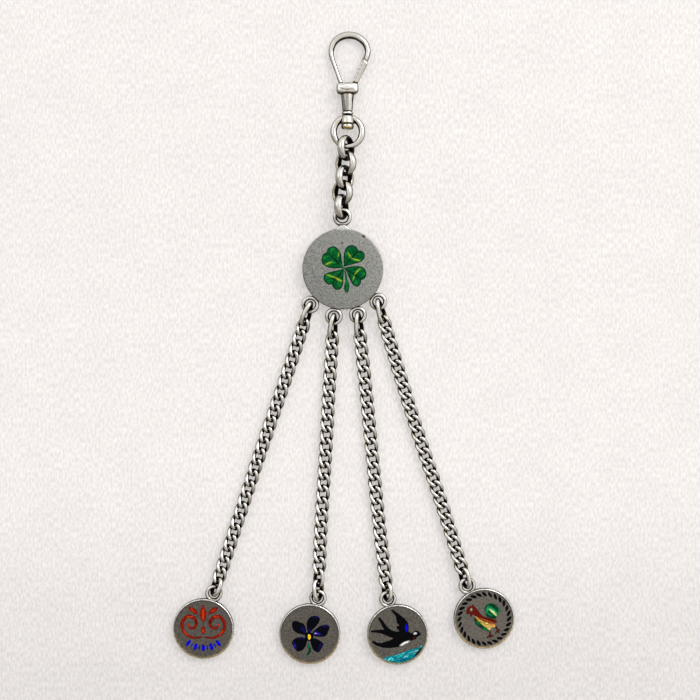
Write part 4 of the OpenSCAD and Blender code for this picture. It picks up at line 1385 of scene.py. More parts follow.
@dataclass
class LargeCharm:
    """Large round charm with an ear, five lugs and a clover in enamel.

    It lies tilted: its middle plane goes through a level line of a known Y and height. Each of its dents is
    given by X, Y, size and depth.
    """

    shop: Workshop
    x: float = -0.19
    y: float = 15.73
    diameter: float = 16.1
    thickness: float = 1.3
    tilt: float = 1.4
    tilt_line_y: float = 7.3
    tilt_line_z: float = 1.37
    lug_reach: float = 9.6
    lug_d: float = 3.55
    lug_wire: float = 0.82
    lug_angles: Sequence[float] = (-132.5, -100.7, -71.7, -42.5)
    top_lug: tuple[float, float] = (-0.264, 26.109)
    top_lug_d: float = 3.8
    top_lug_wire: float = 0.87
    ear_top: float = 8.86
    ear_half_angle: float = 15
    dents: Sequence[tuple[float, float, float, float]] = (
        (-0.15, 5.1, 0.24, 0.06), (1.95, 5.55, 0.16, 0.05), (4.15, 6.5, 0.3, 0.07), (-4.45, -5.3, 0.18, 0.05),
        (5.5, -4.05, 0.16, 0.05), (-1.9, -6.8, 0.18, 0.04), (2.8, -6.4, 0.2, 0.04), (0.6, 7.2, 0.14, 0.04),
        (-3.9, 4.2, 0.14, 0.03), (4.9, 1.2, 0.13, 0.03), (-7.4, 0.2, 0.16, 0.03),
    )

    @property
    def place(self) -> Matrix:
        """Return the charm's place: its middle, with the top edge raised."""
        height = self.tilt_line_z + (self.y - self.tilt_line_y) * math.sin(math.radians(self.tilt))
        return Matrix.Translation((self.x, self.y, height)) @ Matrix.Rotation(math.radians(self.tilt), 4, "X")

    def lug_middle(self, angle: float) -> Points:
        """Return the middle of a lower lug, from the charm's middle."""
        turn = math.radians(angle)
        return self.lug_reach * np.array([math.cos(turn), math.sin(turn)])

    def lug(self, angle: float) -> Points:
        """Return the middle of a lower lug, seen from above."""
        return np.array([self.x, self.y]) + self.lug_middle(angle)

    def outline(self) -> Points:
        """Return the charm's outline, a circle with a low rounded ear at the top."""
        turns = np.radians(np.linspace(90 + self.ear_half_angle, 450 - self.ear_half_angle, 180))
        rim = [self.diameter / 2 * np.array([math.cos(turn), math.sin(turn)]) for turn in turns]
        right = [(1.65, 7.98), (1.28, 8.16), (0.85, 8.46), (0.42, 8.75)]
        left = [(-x, y) for x, y in reversed(right)]
        ear = spline([rim[-1], *right, (0, self.ear_top), *left, rim[0]], 3, closed=False)
        return np.vstack([rim, ear[1:-1]])

    def pits(self, points: Points) -> Points:
        """Return how deep the dents are at points of the face."""
        out = np.zeros(len(points))
        for x, y, size, depth in self.dents:
            out += depth * np.exp(-((np.hypot(points[:, 0] - x, points[:, 1] - y) / size) ** 2))
        return out

    def wear(self, points: Points) -> Points:
        """Return the height of the face, with its dents and slight unevenness."""
        return 0.012 * np.sin(points[:, 0] * 0.9 + 1) * np.cos(points[:, 1] * 0.8) - self.pits(points)

    def paint(self, points: Points) -> dict[str, Points]:
        """Return the numbers that shade the disc.

        It is painted brighter to the upper right, with rubbed brightness and a painted highlight on its ear,
        and painted shade in its dents and along its edge.
        """
        across = points[:, :2] @ np.array([0.75, 0.66]) / (self.diameter / 2)
        edge = np.clip(1 - (self.diameter / 2 - np.hypot(points[:, 0], points[:, 1])) / 0.5, 0, 1)
        ear = np.clip((points[:, 1] - 7.6) / 0.5, 0, 1) * np.clip(1.9 - np.abs(points[:, 0]) / 1.1, 0, 1)
        above = points[:, 2] > self.thickness / 4
        return {
            "inner": np.zeros(len(points)),
            "tone": 0.13 * across - 0.12 * edge * (1 - ear),
            "polish_and_highlight": 0.6 * ear,
            "painted_shade": np.where(above, 15 * self.pits(points), 0),
        }

    def build(self) -> None:
        """Build and dress the charm and its enamel."""
        disc = plate(self.outline(), self.thickness, 0.2, 0.17, self.wear)
        disc.values = self.paint(disc.points)
        parts = [disc.placed(self.place).object("disc", self.shop.finishes.face)]
        for angle in self.lug_angles:
            parts.append(self.shop.lug(self.lug_middle(angle), self.lug_d, self.lug_wire, self.place))
        middle = self.top_lug[0] - self.x, self.top_lug[1] - self.y
        parts.append(self.shop.lug(middle, self.top_lug_d, self.top_lug_wire, self.place))
        self.shop.keep(joined("main_disc", parts), "main_disc")
        clover = Motif("clover_enamel", "green_enamel", self.clover())
        self.shop.fire(clover, self.place, self.thickness / 2)

    def clover(self) -> list[Patch]:
        """Return the clover's four leaves and stem, with veins, lighter places and yellow streaks."""
        leaves = (
            [
                (0.02, 0.3), (-0.26, 2), (-0.45, 3.2), (-0.95, 3.95), (-1.45, 4.4), (-2.1, 4.5), (-2.8, 4.2),
                (-3.1, 3.8), (-3.15, 3.35), (-3.75, 3.05), (-4.1, 2.4), (-4.2, 1.8), (-3.95, 1.05),
                (-3.3, 0.55), (-2.45, 0.26), (-1.3, 0.2), (-0.3, 0.2),
            ],
            [
                (0.26, 0.5), (1.4, 0.84), (2.4, 1.1), (3.4, 1.4), (4.1, 1.9), (4.35, 2.6), (4.2, 3.2),
                (3.75, 3.65), (3.1, 3.72), (2.7, 4.35), (2, 4.7), (1.2, 4.6), (0.62, 4.05), (0.3, 3.2),
                (0.2, 2), (0.2, 1.1),
            ],
            [
                (0.42, 0.12), (0.72, -0.38), (1.1, -1.3), (1.55, -2.25), (2.1, -3.1), (2.7, -3.45),
                (3.2, -3.3), (3.6, -2.8), (3.65, -2.2), (4.2, -2), (4.55, -1.5), (4.65, -0.8), (4.4, -0.05),
                (3.8, 0.42), (2.75, 0.55), (1.6, 0.48), (0.8, 0.34),
            ],
            [
                (0.13, -0.04), (-0.75, -0.2), (-1.9, -0.5), (-3, -0.77), (-3.65, -1.15), (-3.8, -1.9),
                (-3.45, -2.65), (-2.8, -3.1), (-2.2, -3.02), (-1.95, -3.65), (-1.5, -4), (-0.85, -4.1),
                (-0.25, -3.65), (0.02, -2.85), (0.1, -1.9), (0.17, -0.7),
            ],
        )
        stem = [
            (0.36, -0.3), (0.42, -0.9), (0.5, -1.6), (0.58, -2.3), (0.5, -2.9), (0.34, -3.5), (0.4, -4.15),
            (0.75, -4.65), (1.05, -4.3), (1.22, -3.6), (1.14, -2.9), (0.92, -2.3), (0.76, -1.6), (0.66, -0.9),
            (0.56, -0.35),
        ]
        green, dabs = colour(1, 86, 39), self.veins()
        patches = [
            Patch(spline(leaf, 4), green, dabs, line=0.3, spacing=0.09, grow=0.05)
            for leaf in leaves
        ]
        middle = turned(ellipse(1.3, 0.5, 24), -48, (0.12, 0.26))
        patches.append(Patch(spline(stem, 4), green, dabs, line=0.12, grow=0.09))
        patches.append(Patch(middle, green, dabs, dome=0.04, line=0.1))
        return patches

    @staticmethod
    def veins() -> list[Dab]:
        """Return the clover's lighter places, dark veins and yellow streaks, in their order."""
        deep, light, yellow = colour(0, 28, 13), colour(24, 130, 50), colour(180, 210, 42)
        # X, Y, length, width, turn and strength of the lighter places
        pale = (
            (-2.3, 3.7, 1.5, 1.0, 40, 0.6), (-3.3, 2.3, 1.6, 0.8, 15, 0.5), (-0.95, 2.9, 1.8, 0.5, 75, 0.7),
            (-2.2, 1.1, 1.9, 0.6, 15, 0.5), (1.0, 2.7, 1.9, 0.6, -55, 0.6), (2.9, 1.8, 1.8, 0.5, 10, 0.5),
            (3.2, 2.9, 0.9, 0.5, 30, 0.3), (3.2, -0.3, 1.8, 0.6, 30, 0.6), (2.2, -1.6, 1.5, 0.5, -70, 0.6),
            (4.1, -1.0, 1.0, 0.6, 20, 0.5), (2.7, -2.7, 1.1, 0.7, 60, 0.5), (-2.9, -1.5, 1.5, 0.7, -20, 0.5),
            (-1.2, -0.9, 1.6, 0.5, 20, 0.5), (-0.7, -3.0, 1.2, 0.8, -20, 0.5),
            (-2.3, -2.4, 1.2, 0.7, 10, 0.4),
        )
        dabs = [Dab(*oval, light, strength) for *oval, strength in pale]
        # Start and end of each leaf's middle vein
        ribs = (
            ((0, 0.4), (-2.95, 3.2)), ((0.45, 0.8), (3.0, 3.6)),
            ((0.5, 0.05), (3.9, -2.05)), ((0, -0.25), (-2.1, -2.8)),
        )
        for start, end in ribs:
            way = np.subtract(end, start)
            side = np.array([-way[1], way[0]])
            for share in (0.25, 0.45, 0.65, 0.85):
                for lean in (1, -1):
                    root = np.add(start, share * way)
                    tip = root + 0.24 * way + lean * 0.34 * side * (1.05 - 0.5 * share)
                    dabs.append(Dab.streak(tuple(root), tuple(tip), 0.24, deep, 0.75))
            dabs.append(Dab.streak(start, end, 0.34, deep, 1.0))
        # Start, end and width of the yellow streaks
        streaks = (
            ((-3.6, 0.8), (-2.1, 1.5), 0.36), ((-0.85, 2.5), (-0.75, 3.4), 0.16),
            ((1.0, 3.25), (1.65, 2.35), 0.3), ((1.75, 2.1), (3.5, 1.6), 0.3),
            ((3.5, 0.2), (2.35, -1.05), 0.28), ((2.25, -1.4), (2.05, -2.2), 0.2),
            ((-3.15, -1.1), (-1.6, -1.65), 0.3), ((-1.6, -1.65), (-0.1, -2.5), 0.42),
        )
        dabs += [Dab.streak(start, end, 1.05 * width, yellow, 0.6) for start, end, width in streaks]
        dabs += [
            Dab.streak((-0.6, 1.15), (0.45, -0.05), 0.3, light, 0.9),
            Dab.streak((0.7, -1.2), (0.85, -4.2), 0.36, light, 0.45),
            Dab.streak((0.45, -2.6), (0.5, -4.2), 0.25, deep, 0.6),
        ]
        return dabs


@dataclass
class StrandRow:
    """One hanging strand: its curb chain, its two connecting links and its small charm.

    Attributes:
        lug_angle: Direction of the large charm's lug from the charm's middle, in degrees.
        links: Number of curb links.
        places: Points that the chain lies on.
        charm: Middle of the small charm.
        lug_toward: Point that the small charm's lug points to.
        high: Side of the lower connecting link that stands high.
        reach: Distance from the small charm's lug to the end of the chain's path.
        tone: How much brighter the small charm's face is than the usual one.
    """

    lug_angle: float
    links: int
    places: Sequence[tuple[float, float]]
    charm: tuple[float, float]
    lug_toward: tuple[float, float]
    high: Side
    reach: float
    tone: float


STRANDS = (
    StrandRow(
        -132.5, 24, ((-12, -7.2), (-16.4, -20), (-20.1, -31.2)), (-28.03, -56.11), (-25.87, -48.75),
        high=Side.RIGHT, reach=1.8, tone=0.0,
    ),
    StrandRow(
        -100.7, 21, ((-2.9, -7.6), (-3.6, -20.4), (-4.5, -34.8)), (-6.79, -57.15), (-5.15, -49.97),
        high=Side.LEFT, reach=2.1, tone=0.06,
    ),
    StrandRow(
        -71.7, 21, ((4.5, -9.2), (5.9, -23.6), (7.2, -36.4)), (10.75, -57.27), (8.75, -49.95),
        high=Side.RIGHT, reach=1.85, tone=0.1,
    ),
    StrandRow(
        -42.5, 23, ((11.3, -5.6), (15.3, -18.4), (19.6, -31.2)), (28.05, -54.07), (24.6, -47.4),
        high=Side.RIGHT, reach=2.2, tone=0.34,
    ),
)


@dataclass
class LinkEnds:
    """Connecting link, measured from the lug that it hangs in, and how the curb chain meets it.

    Attributes:
        upper: Right, up and height of its upper end.
        lower: Right, up and height of its lower end.
        leans: Lean of its strands at the upper and the lower end, in degrees.
        width: Distance between its strands.
        chain_height: Height of the chain's end.
        chain_fade: Number of curb links over which the chain comes down from there.
        last_lean: Lean of the strands at the chain's lower end, in degrees.
    """

    upper: Place
    lower: Place
    leans: tuple[float, float]
    width: float
    chain_height: float
    chain_fade: float
    last_lean: float = 0.0


HANGER = LinkEnds((0, 0.32, 1.635), (-0.1, -4.14, 1.43), (100, 129), 2.41, 1.41, 2.64)
DROPS = {
    Side.RIGHT: LinkEnds((0.14, 1.33, 1.27), (0, -0.21, 1.48), (50, 58), 2.29, 1.2, 2.45, -50),
    Side.LEFT: LinkEnds((-0.14, 1.37, 1.2), (0, -0.3, 1.53), (139, 115), 2.33, 1.15, 3.45, 34),
}


@dataclass
class SmallCharm:
    """Small round charm with a lug and patches of enamel on its face.

    Attributes:
        shop: What makes the pieces.
        number: Number of its strand, from the left.
        row: Its strand.
        motifs: Motifs on its face.
    """

    shop: Workshop
    number: int
    row: StrandRow
    motifs: Sequence[Motif]
    diameter: float = 12.16
    thickness: float = 1.2
    tilt: float = 3.2
    lug_reach: float = 7.4
    lug_d: float = 3.5
    lug_wire: float = 0.79
    ground: float = 0.02
    edge: float = 0.26
    border: float = 0.07

    @property
    def toward(self) -> Points:
        """Return the direction of the lug."""
        return unit(np.array(self.row.lug_toward) - self.row.charm)

    @property
    def lug(self) -> Points:
        """Return the middle of the lug, seen from above."""
        return np.array(self.row.charm) + self.lug_reach * math.cos(math.radians(self.tilt)) * self.toward

    @property
    def place(self) -> Matrix:
        """Return the charm's place: its pattern upright and its lug edge raised."""
        lean = math.radians(self.tilt)
        height = self.ground + self.thickness / 2 * math.cos(lean) + self.diameter / 2 * math.sin(lean)
        heading = math.atan2(self.toward[1], self.toward[0])
        there, back = Matrix.Rotation(heading, 4, "Z"), Matrix.Rotation(-heading, 4, "Z")
        return Matrix.Translation((*self.row.charm, height)) @ (there @ Matrix.Rotation(-lean, 4, "Y") @ back)

    def wear(self, points: Points) -> Points:
        """Return the slight unevenness of the face."""
        return 0.01 * np.sin(points[:, 0] * 1.1 + self.number) * np.cos(points[:, 1] * 1.3 + self.number)

    def build(self) -> None:
        """Build and dress the charm and its enamel."""
        name = f"drop_disc_{self.number}"
        disc = self.disc().placed(self.place).object(name, self.shop.finishes.drop_face)
        lug = self.shop.lug(self.lug_reach * self.toward, self.lug_d, self.lug_wire, self.place)
        self.shop.keep(joined(name, [disc, lug]), name)
        for motif in self.motifs:
            self.shop.fire(motif, self.place, self.thickness / 2)

    def disc(self) -> Shape:
        """Build the disc, whose rubbed edge has a painted highlight, with yellow toning and a painted warm
        reflection below and a line of painted shade above.
        """
        outline = ellipse(self.diameter, self.diameter, 144)
        disc = plate(outline, self.thickness, self.edge, 0.28, self.wear, self.border)
        depth = self.diameter / 2 - disc.away
        lower = np.clip(-disc.points[:, 1] / self.diameter * 2.4 + 0.2, 0, 1)
        line = np.abs(depth - self.edge - self.border) < 0.02
        # Rubbed brightness and a painted highlight on the rounded edge.
        disc.values["polish_and_highlight"] = np.clip(1.5 - depth / self.edge * 1.45, 0, 1)
        disc.values["tone"] = np.where(depth > self.edge, self.row.tone, 0)
        # Yellow toning and a painted warm reflection on the lower edge.
        disc.values["gilt_and_reflection"] = 0.45 * lower * np.clip(2 - depth / self.edge, 0, 1)
        # Painted shade: a dark line round the upper part of the face's edge.
        disc.values["painted_shade"] = np.where(line, 0.55 * (1 - lower), 0)
        return disc


@dataclass
class HangingStrand:
    """Curb chain between its two connecting links, which hang in an upper and a lower lug.

    Each curb link's wire reaches past the next one's by the overlap, and rest is the height of the wires'
    middles where the chain lies.
    """

    shop: Workshop
    number: int
    row: StrandRow
    upper: Points
    lower: Points
    wire: float = 0.78
    width: float = 2.0
    lean: float = 50
    overlap: float = 0.9
    rest: float = 0.83
    roundness: float = 2.3
    end_wire: float = 0.67
    link_wire: float = 0.86
    link_roundness: float = 2.4
    hanger_reach: float = 2.75

    @property
    def drop(self) -> LinkEnds:
        """Return the measures of the lower connecting link."""
        return DROPS[self.row.high]

    def path(self) -> Points:
        """Return the chain's path, seen from above."""
        places = [np.array(place, float) for place in self.row.places]
        start = self.upper + self.hanger_reach * unit(places[0] - self.upper)
        end = self.lower + self.row.reach * unit(places[-1] - self.lower)
        return spline([start, *places, end], 20, closed=False)

    def seats(self) -> tuple[list[Points], list[Points]]:
        """Return the middles of the wire at the upper and the lower end of each link."""
        path = self.path()
        runs = np.concatenate([[0], np.cumsum(np.linalg.norm(np.diff(path, axis=0), axis=1))])
        step = (runs[-1] - self.overlap - self.end_wire) / self.row.links

        def rise(end: LinkEnds, run: float) -> float:
            """Return how much higher the chain is than at rest, at a distance from one of its ends."""
            return (end.chain_height - self.rest) * ease(max(0.0, 1 - run / end.chain_fade / step))

        def seat(run: float) -> Points:
            """Return the place and height at a distance along the chain."""
            height = self.rest + rise(HANGER, run) + rise(self.drop, runs[-1] - run)
            return np.array([np.interp(run, runs, path[:, 0]), np.interp(run, runs, path[:, 1]), height])

        starts = [index * step + self.end_wire / 2 for index in range(self.row.links)]
        return [seat(run) for run in starts], [seat(run + step + self.overlap) for run in starts]

    def build(self) -> None:
        """Build and dress the chain and its connecting links."""
        self.build_chain()
        up = unit(self.upper - np.array(self.row.places[0]))
        self.build_link(f"hanger_link_{self.number}", HANGER, self.upper, up)
        up = unit(np.array(self.row.places[-1]) - self.lower)
        self.build_link(f"drop_link_{self.number}", self.drop, self.lower, up, self.row.reach)

    def build_chain(self) -> None:
        """Set the curb links along the chain's path."""
        name = f"curb_chain_{self.number}"
        firsts, seconds = self.seats()
        length = float(np.mean([np.linalg.norm(a - b) for a, b in zip(firsts, seconds)]))
        templates = []
        for last_lean in (-self.lean, self.drop.last_lean):
            ends = np.array([0, length / 2, 0]), np.array([0, -length / 2, 0])
            loop = twisted_oval(*ends, self.width, (self.lean, last_lean), self.roundness, 32)
            templates.append(path_object("link", loop, self.wire, closed=True))
        mesh = bpy.data.meshes.new(name)
        mesh.from_pydata([tuple((a + b) / 2 * MM) for a, b in zip(firsts, seconds)], [], [])
        turns = []
        for first, second in zip(firsts, seconds):
            turns += list(Matrix(np.column_stack(axes(first, second)).tolist()).to_quaternion())
        store(mesh, "turn", "QUATERNION", turns)
        store(mesh, "last", "BOOLEAN", np.arange(len(firsts)) == len(firsts) - 1)
        inputs = {"Sides": 12, "Finish": self.shop.finishes.wire}
        inputs |= {"Link": templates[0], "Last Link": templates[1]}
        made = self.shop.trees.run(in_scene(name, mesh), self.shop.trees.chain, inputs)
        for template in templates:
            bpy.data.objects.remove(template)
        self.shop.keep(made, name)

    def build_link(self, name: str, ends: LinkEnds, lug: Points, up: Points, reach: float = 0.0) -> None:
        """Build a connecting link.

        Args:
            name: Name of its node.
            ends: Its measures.
            lug: Middle of the lug that it hangs in.
            up: Direction along the strand.
            reach: Distance to add to its upper end.
        """
        right = np.array([up[1], -up[0]])

        def beside(end: Place, further: float) -> Points:
            """Return the place of an end."""
            return np.array([*(lug + end[0] * right + (further + end[1]) * up), end[2]])

        upper, lower = beside(ends.upper, reach), beside(ends.lower, 0.0)
        loop = twisted_oval(upper, lower, ends.width, ends.leans, self.link_roundness, 48)
        self.shop.keep(self.shop.wire(name, loop, self.link_wire, sides=16), name)


# Motifs of the small charms


def scroll_motifs() -> list[Motif]:
    """Return a pair of red volutes with leaves, over a fan of small blue leaves."""
    red, glow, deep, blue = colour(128, 22, 6), colour(206, 62, 16), colour(62, 0, 0), colour(0, 0, 190)
    volute = [
        (0.15, -1.5), (1.5, -1.75), (3, -1.35), (4.05, -0.2), (4.2, 1.3), (3.3, 2.5), (2, 2.35), (1.35, 1.3),
        (1.8, 0.3), (2.75, 0.3), (3.05, 1.1),
    ]
    leaf = [(1, 2.95), (1.8, 3.15), (2.5, 3.6), (3, 4.4), (2.1, 4.35), (1.4, 3.9)]
    bud = [(0, 1.35), (0.5, 2.2), (0.72, 3.2), (0.4, 4.2), (0, 5), (-0.4, 4.2), (-0.72, 3.2), (-0.5, 2.2)]
    drop = [(0, 0.75), (-0.42, -0.1), (-0.3, -0.8), (0, -1.15), (0.3, -0.8), (0.42, -0.1)]
    dabs = [Dab.streak((0, 1.8), (0, 4.2), 0.5, glow, 0.8), Dab(0, -0.4, 0.7, 0.4, 90, glow, 0.8)]
    for side in (1, -1):
        dabs += [
            Dab(side * 3.0, 0.95, 0.9, 0.8, 0, colour(226, 26, 10), 0.9),
            Dab(side * 3.6, -0.7, 1.6, 0.3, side * 52, glow, 0.8),
            Dab(side * 2.6, 2.5, 1.5, 0.3, side * -8, glow, 0.8),
            Dab(side * 1.45, 1.5, 0.9, 0.8, 80, deep, 0.7),
            Dab(side * 0.9, -1.65, 1.3, 0.5, 0, deep, 0.6),
            Dab(side * 2.1, 3.8, 1.1, 0.35, side * 35, glow, 0.7),
        ]
    outlines = [spline(outline, 6) for outline in (leaf, [(-x, y) for x, y in leaf], bud, drop)]
    outlines += [stroke([(side * x, y) for x, y in volute], 0.3, 0.75) for side in (1, -1)]
    scrolls = [Patch(outline, red, dabs, line=0.1, spacing=0.09) for outline in outlines]
    spray = []
    fan_y, fan_r, step = 1.3, 5.1, 9
    for index in range(-4, 5):
        turn = math.radians(index * step)
        size = (1.5, 0.72, 20) if index % 2 == 0 else (1.1, 0.34, 16)
        place = fan_r * math.sin(turn), fan_y - fan_r * math.cos(turn)
        small = turned(ellipse(*size), index * step - 90, place)
        shade = [Dab(*place, 0.5, 0.5, 0, colour(10, 20, 235), 0.7)]
        spray.append(Patch(small, blue, shade, line=0.1, spacing=0.09))
    return [Motif("scroll_enamel", "red_enamel", scrolls), Motif("spray_enamel", "blue_enamel", spray)]


def flower_motifs() -> list[Motif]:
    """Return a dark five-petalled flower with a yellow eye and a green stem."""
    outlines = (
        [
            (-0.26, 0.4), (0.14, 0.46), (0.63, 1), (1.32, 1.64), (1.85, 2.4), (2.04, 3.15), (1.6, 3.7),
            (0.75, 3.77), (-0.1, 3.37), (-0.53, 2.63), (-0.6, 1.7), (-0.48, 0.8),
        ],
        [
            (0.42, -0.08), (0.84, -0.32), (1.7, -0.48), (2.75, -0.48), (3.45, -0.1), (3.7, 0.6), (4.04, 1.35),
            (3.85, 1.75), (3.15, 1.98), (2.1, 1.72), (1.16, 1.05), (0.42, 0.27),
        ],
        [
            (0.3, -0.95), (0.14, -1.35), (0.23, -1.9), (0.52, -2.75), (0.95, -3.38), (1.6, -3.65),
            (2.1, -3.38), (2.44, -2.7), (2.74, -2), (2.53, -1.6), (1.9, -1.17), (1.16, -0.8), (0.55, -0.8),
        ],
        [
            (-0.55, -0.9), (-1.44, -0.53), (-2.5, -0.64), (-3.25, -1.06), (-3.52, -1.7), (-3.27, -2.47),
            (-2.74, -3.27), (-2.22, -3.48), (-1.48, -3.23), (-0.85, -2.5), (-0.56, -1.7), (-0.45, -1.2),
        ],
        [
            (-0.74, -0.08), (-0.68, 0.73), (-0.87, 1.57), (-1.23, 2.2), (-2, 2.44), (-2.74, 2.73),
            (-3.38, 2.52), (-3.59, 1.9), (-3.38, 1), (-2.74, 0.35), (-1.75, 0.04),
        ],
    )
    black, blue, violet = colour(2, 2, 12), colour(18, 12, 96), colour(58, 38, 176)
    dabs = [
        Dab.streak((0.9, 0.55), (2.3, -0.1), 0.7, blue, 0.9),
        Dab.streak((0.85, 0.35), (2.1, 0.0), 0.3, violet, 0.9),
        # Painted highlight on the glossy petal.
        Dab(1.15, 0.2, 0.6, 0.3, 0, colour(150, 140, 205), 0.95),
        Dab.streak((2.4, 1.75), (3.9, 1.6), 0.4, blue, 0.8),
        Dab.streak((0.7, 3.6), (1.9, 3.4), 0.35, blue, 0.8),
        Dab(0.0, 0.8, 1.0, 0.6, 90, blue, 0.6),
        Dab.streak((-1.6, 1.5), (-0.9, 0.4), 0.8, blue, 0.6),
        Dab.streak((-3.3, -1.3), (-2.6, -3.2), 0.5, blue, 0.9),
        Dab(-3.0, -2.3, 0.5, 0.4, 90, violet, 0.7),
        Dab.streak((-2.3, -0.7), (-0.8, -0.8), 0.3, blue, 0.8),
        Dab.streak((2.4, -1.6), (1.7, -3.4), 0.45, blue, 0.7),
    ]
    petals = [Patch(spline(outline, 5), black, dabs) for outline in outlines]
    petals.append(Patch(ellipse(1.75, 1.9, 40) + (-0.1, -0.45), black, (), dome=0.045))
    eye = [
        (-0.42, -0.22), (-0.4, -0.75), (-0.12, -1.18), (0.16, -0.92), (0.32, -0.5), (0.12, -0.06),
        (-0.2, 0.08),
    ]
    amber = Dab(-0.02, -0.5, 0.3, 0.25, 0, colour(205, 140, 20), 0.8)
    yellow = Patch(
        spline(eye, 5), colour(246, 206, 30), [amber], dome=0.12, line=0.05, spacing=0.07
    )
    stalk = [(-0.2, -1.75), (-0.28, -2.4), (0.02, -2.95), (-0.02, -3.5), (-0.4, -4), (-0.68, -4.5)]
    green = [
        Dab(-0.2, -2.3, 0.9, 0.4, 80, colour(0, 120, 90), 0.8),
        Dab(-0.6, -4.4, 0.6, 0.5, 50, colour(0, 130, 100), 0.9),
    ]
    stem = Patch(stroke(stalk, 0.24, 0.52), colour(0, 58, 36), green, line=0.08, spacing=0.08)
    return [
        Motif("petal_enamel", "violet_enamel", petals),
        Motif("flower_eye_enamel", "yellow_enamel", [yellow]),
        Motif("flower_stem_enamel", "green_enamel", [stem]),
    ]


def swallow_motifs() -> list[Motif]:
    """Return a swallow over the sea."""
    bird = [
        (-0.75, 4.45), (-0.2, 3.55), (-0.3, 3.3), (-0.05, 3.0), (-0.2, 2.7), (0.45, 1.85), (-0.05, 1.75),
        (-0.2, 1.5), (0.5, 0.7), (-0.2, 0.6), (-1.15, 0.85), (-1.95, 1.4), (-2.5, 2.15), (-3.25, 3.15),
        (-3.62, 3.5), (-3.85, 3.42), (-3.5, 2.7), (-3.2, 2.3), (-3.05, 1.7), (-2.5, 1.05), (-3.4, 1.05),
        (-4.35, 0.94), (-5.2, 0.86), (-5.26, 0.6), (-4.35, 0.56), (-3.4, 0.4), (-1.6, -0.3), (-0.65, -0.65),
        (-1.6, -1.2), (-2.5, -1.4), (-3.25, -1.7), (-4.05, -1.62), (-4.9, -1.2), (-5.02, -1.42), (-4.35, -2),
        (-2.95, -2.5), (-1.6, -2.6), (0.05, -2.38), (0.6, -2.28), (1.45, -1.78), (2.3, -1.36), (2.9, -1),
        (3.55, -0.8), (3.9, -0.3), (4.6, 0.1), (4.1, 0.7), (3.55, 0.85), (2.9, 0.3), (2.1, 0.6), (2.15, 1.6),
        (1.95, 2.45), (1.45, 3.15), (0.8, 3.7), (-0.2, 4.5), (-1.05, 5.08), (-1.22, 4.92),
    ]
    white = colour(238, 238, 236)
    dabs = [
        Dab.streak((1.68, 2.1), (1.84, 0.75), 0.52, colour(10, 6, 222)),
        Dab(3.5, 0.31, 0.68, 0.46, 12, white),
        Dab(3.62, 0.24, 0.34, 0.2, 30, colour(120, 150, 235), 0.8),
        Dab(3.28, -0.58, 0.64, 0.46, 50, colour(72, 6, 3)),
        Dab.streak((0.6, -2.12), (2.3, -1.3), 0.62, colour(250, 250, 250)),
    ]
    rim_r = 5.66
    rim = [(rim_r * math.cos(turn), rim_r * math.sin(turn)) for turn in np.radians(range(236, 337, 5))]
    crest = [
        (4.9, -2.1), (3.85, -2.5), (2.6, -2.95), (1.3, -3.42), (0.05, -3.83), (-1.3, -4.2), (-2.6, -4.5),
    ]
    tints = (
        colour(88, 222, 226), colour(0, 112, 124), colour(16, 148, 96),
        colour(0, 62, 84), colour(170, 236, 234), colour(0, 92, 108),
    )
    seed = np.random.default_rng(11)
    sea = []
    for index in range(110):
        x = seed.uniform(-3, 5)
        y = -3.55 + 0.36 * (x - 0.9) - seed.uniform(0, 1) * (2.0 - 0.1 * (x - 0.5) ** 2)
        length, width = seed.uniform(0.4, 1.4), seed.uniform(0.1, 0.24)
        sea.append(Dab(x, y, length, width, seed.uniform(10, 38), tints[index % len(tints)], 0.85))
    sea += [
        Dab.streak((3.2, -4.6), (5.15, -2.4), 0.7, colour(2, 18, 28)),
        Dab.streak((-1.5, -5.5), (3.2, -4.7), 0.36, colour(0, 64, 108), 0.9),
    ]
    water = finer(np.vstack([rim, spline(crest, 4, closed=False)]), 0.2)
    wave = Patch(water, colour(0, 132, 150), sea, line=0.1, spacing=0.08)
    swallow = Patch(finer(bird, 0.2), colour(3, 3, 6), dabs, line=0.04, grow=0.09)
    return [
        Motif("swallow_enamel", "black_enamel", [swallow]),
        Motif("wave_enamel", "teal_enamel", [wave]),
    ]


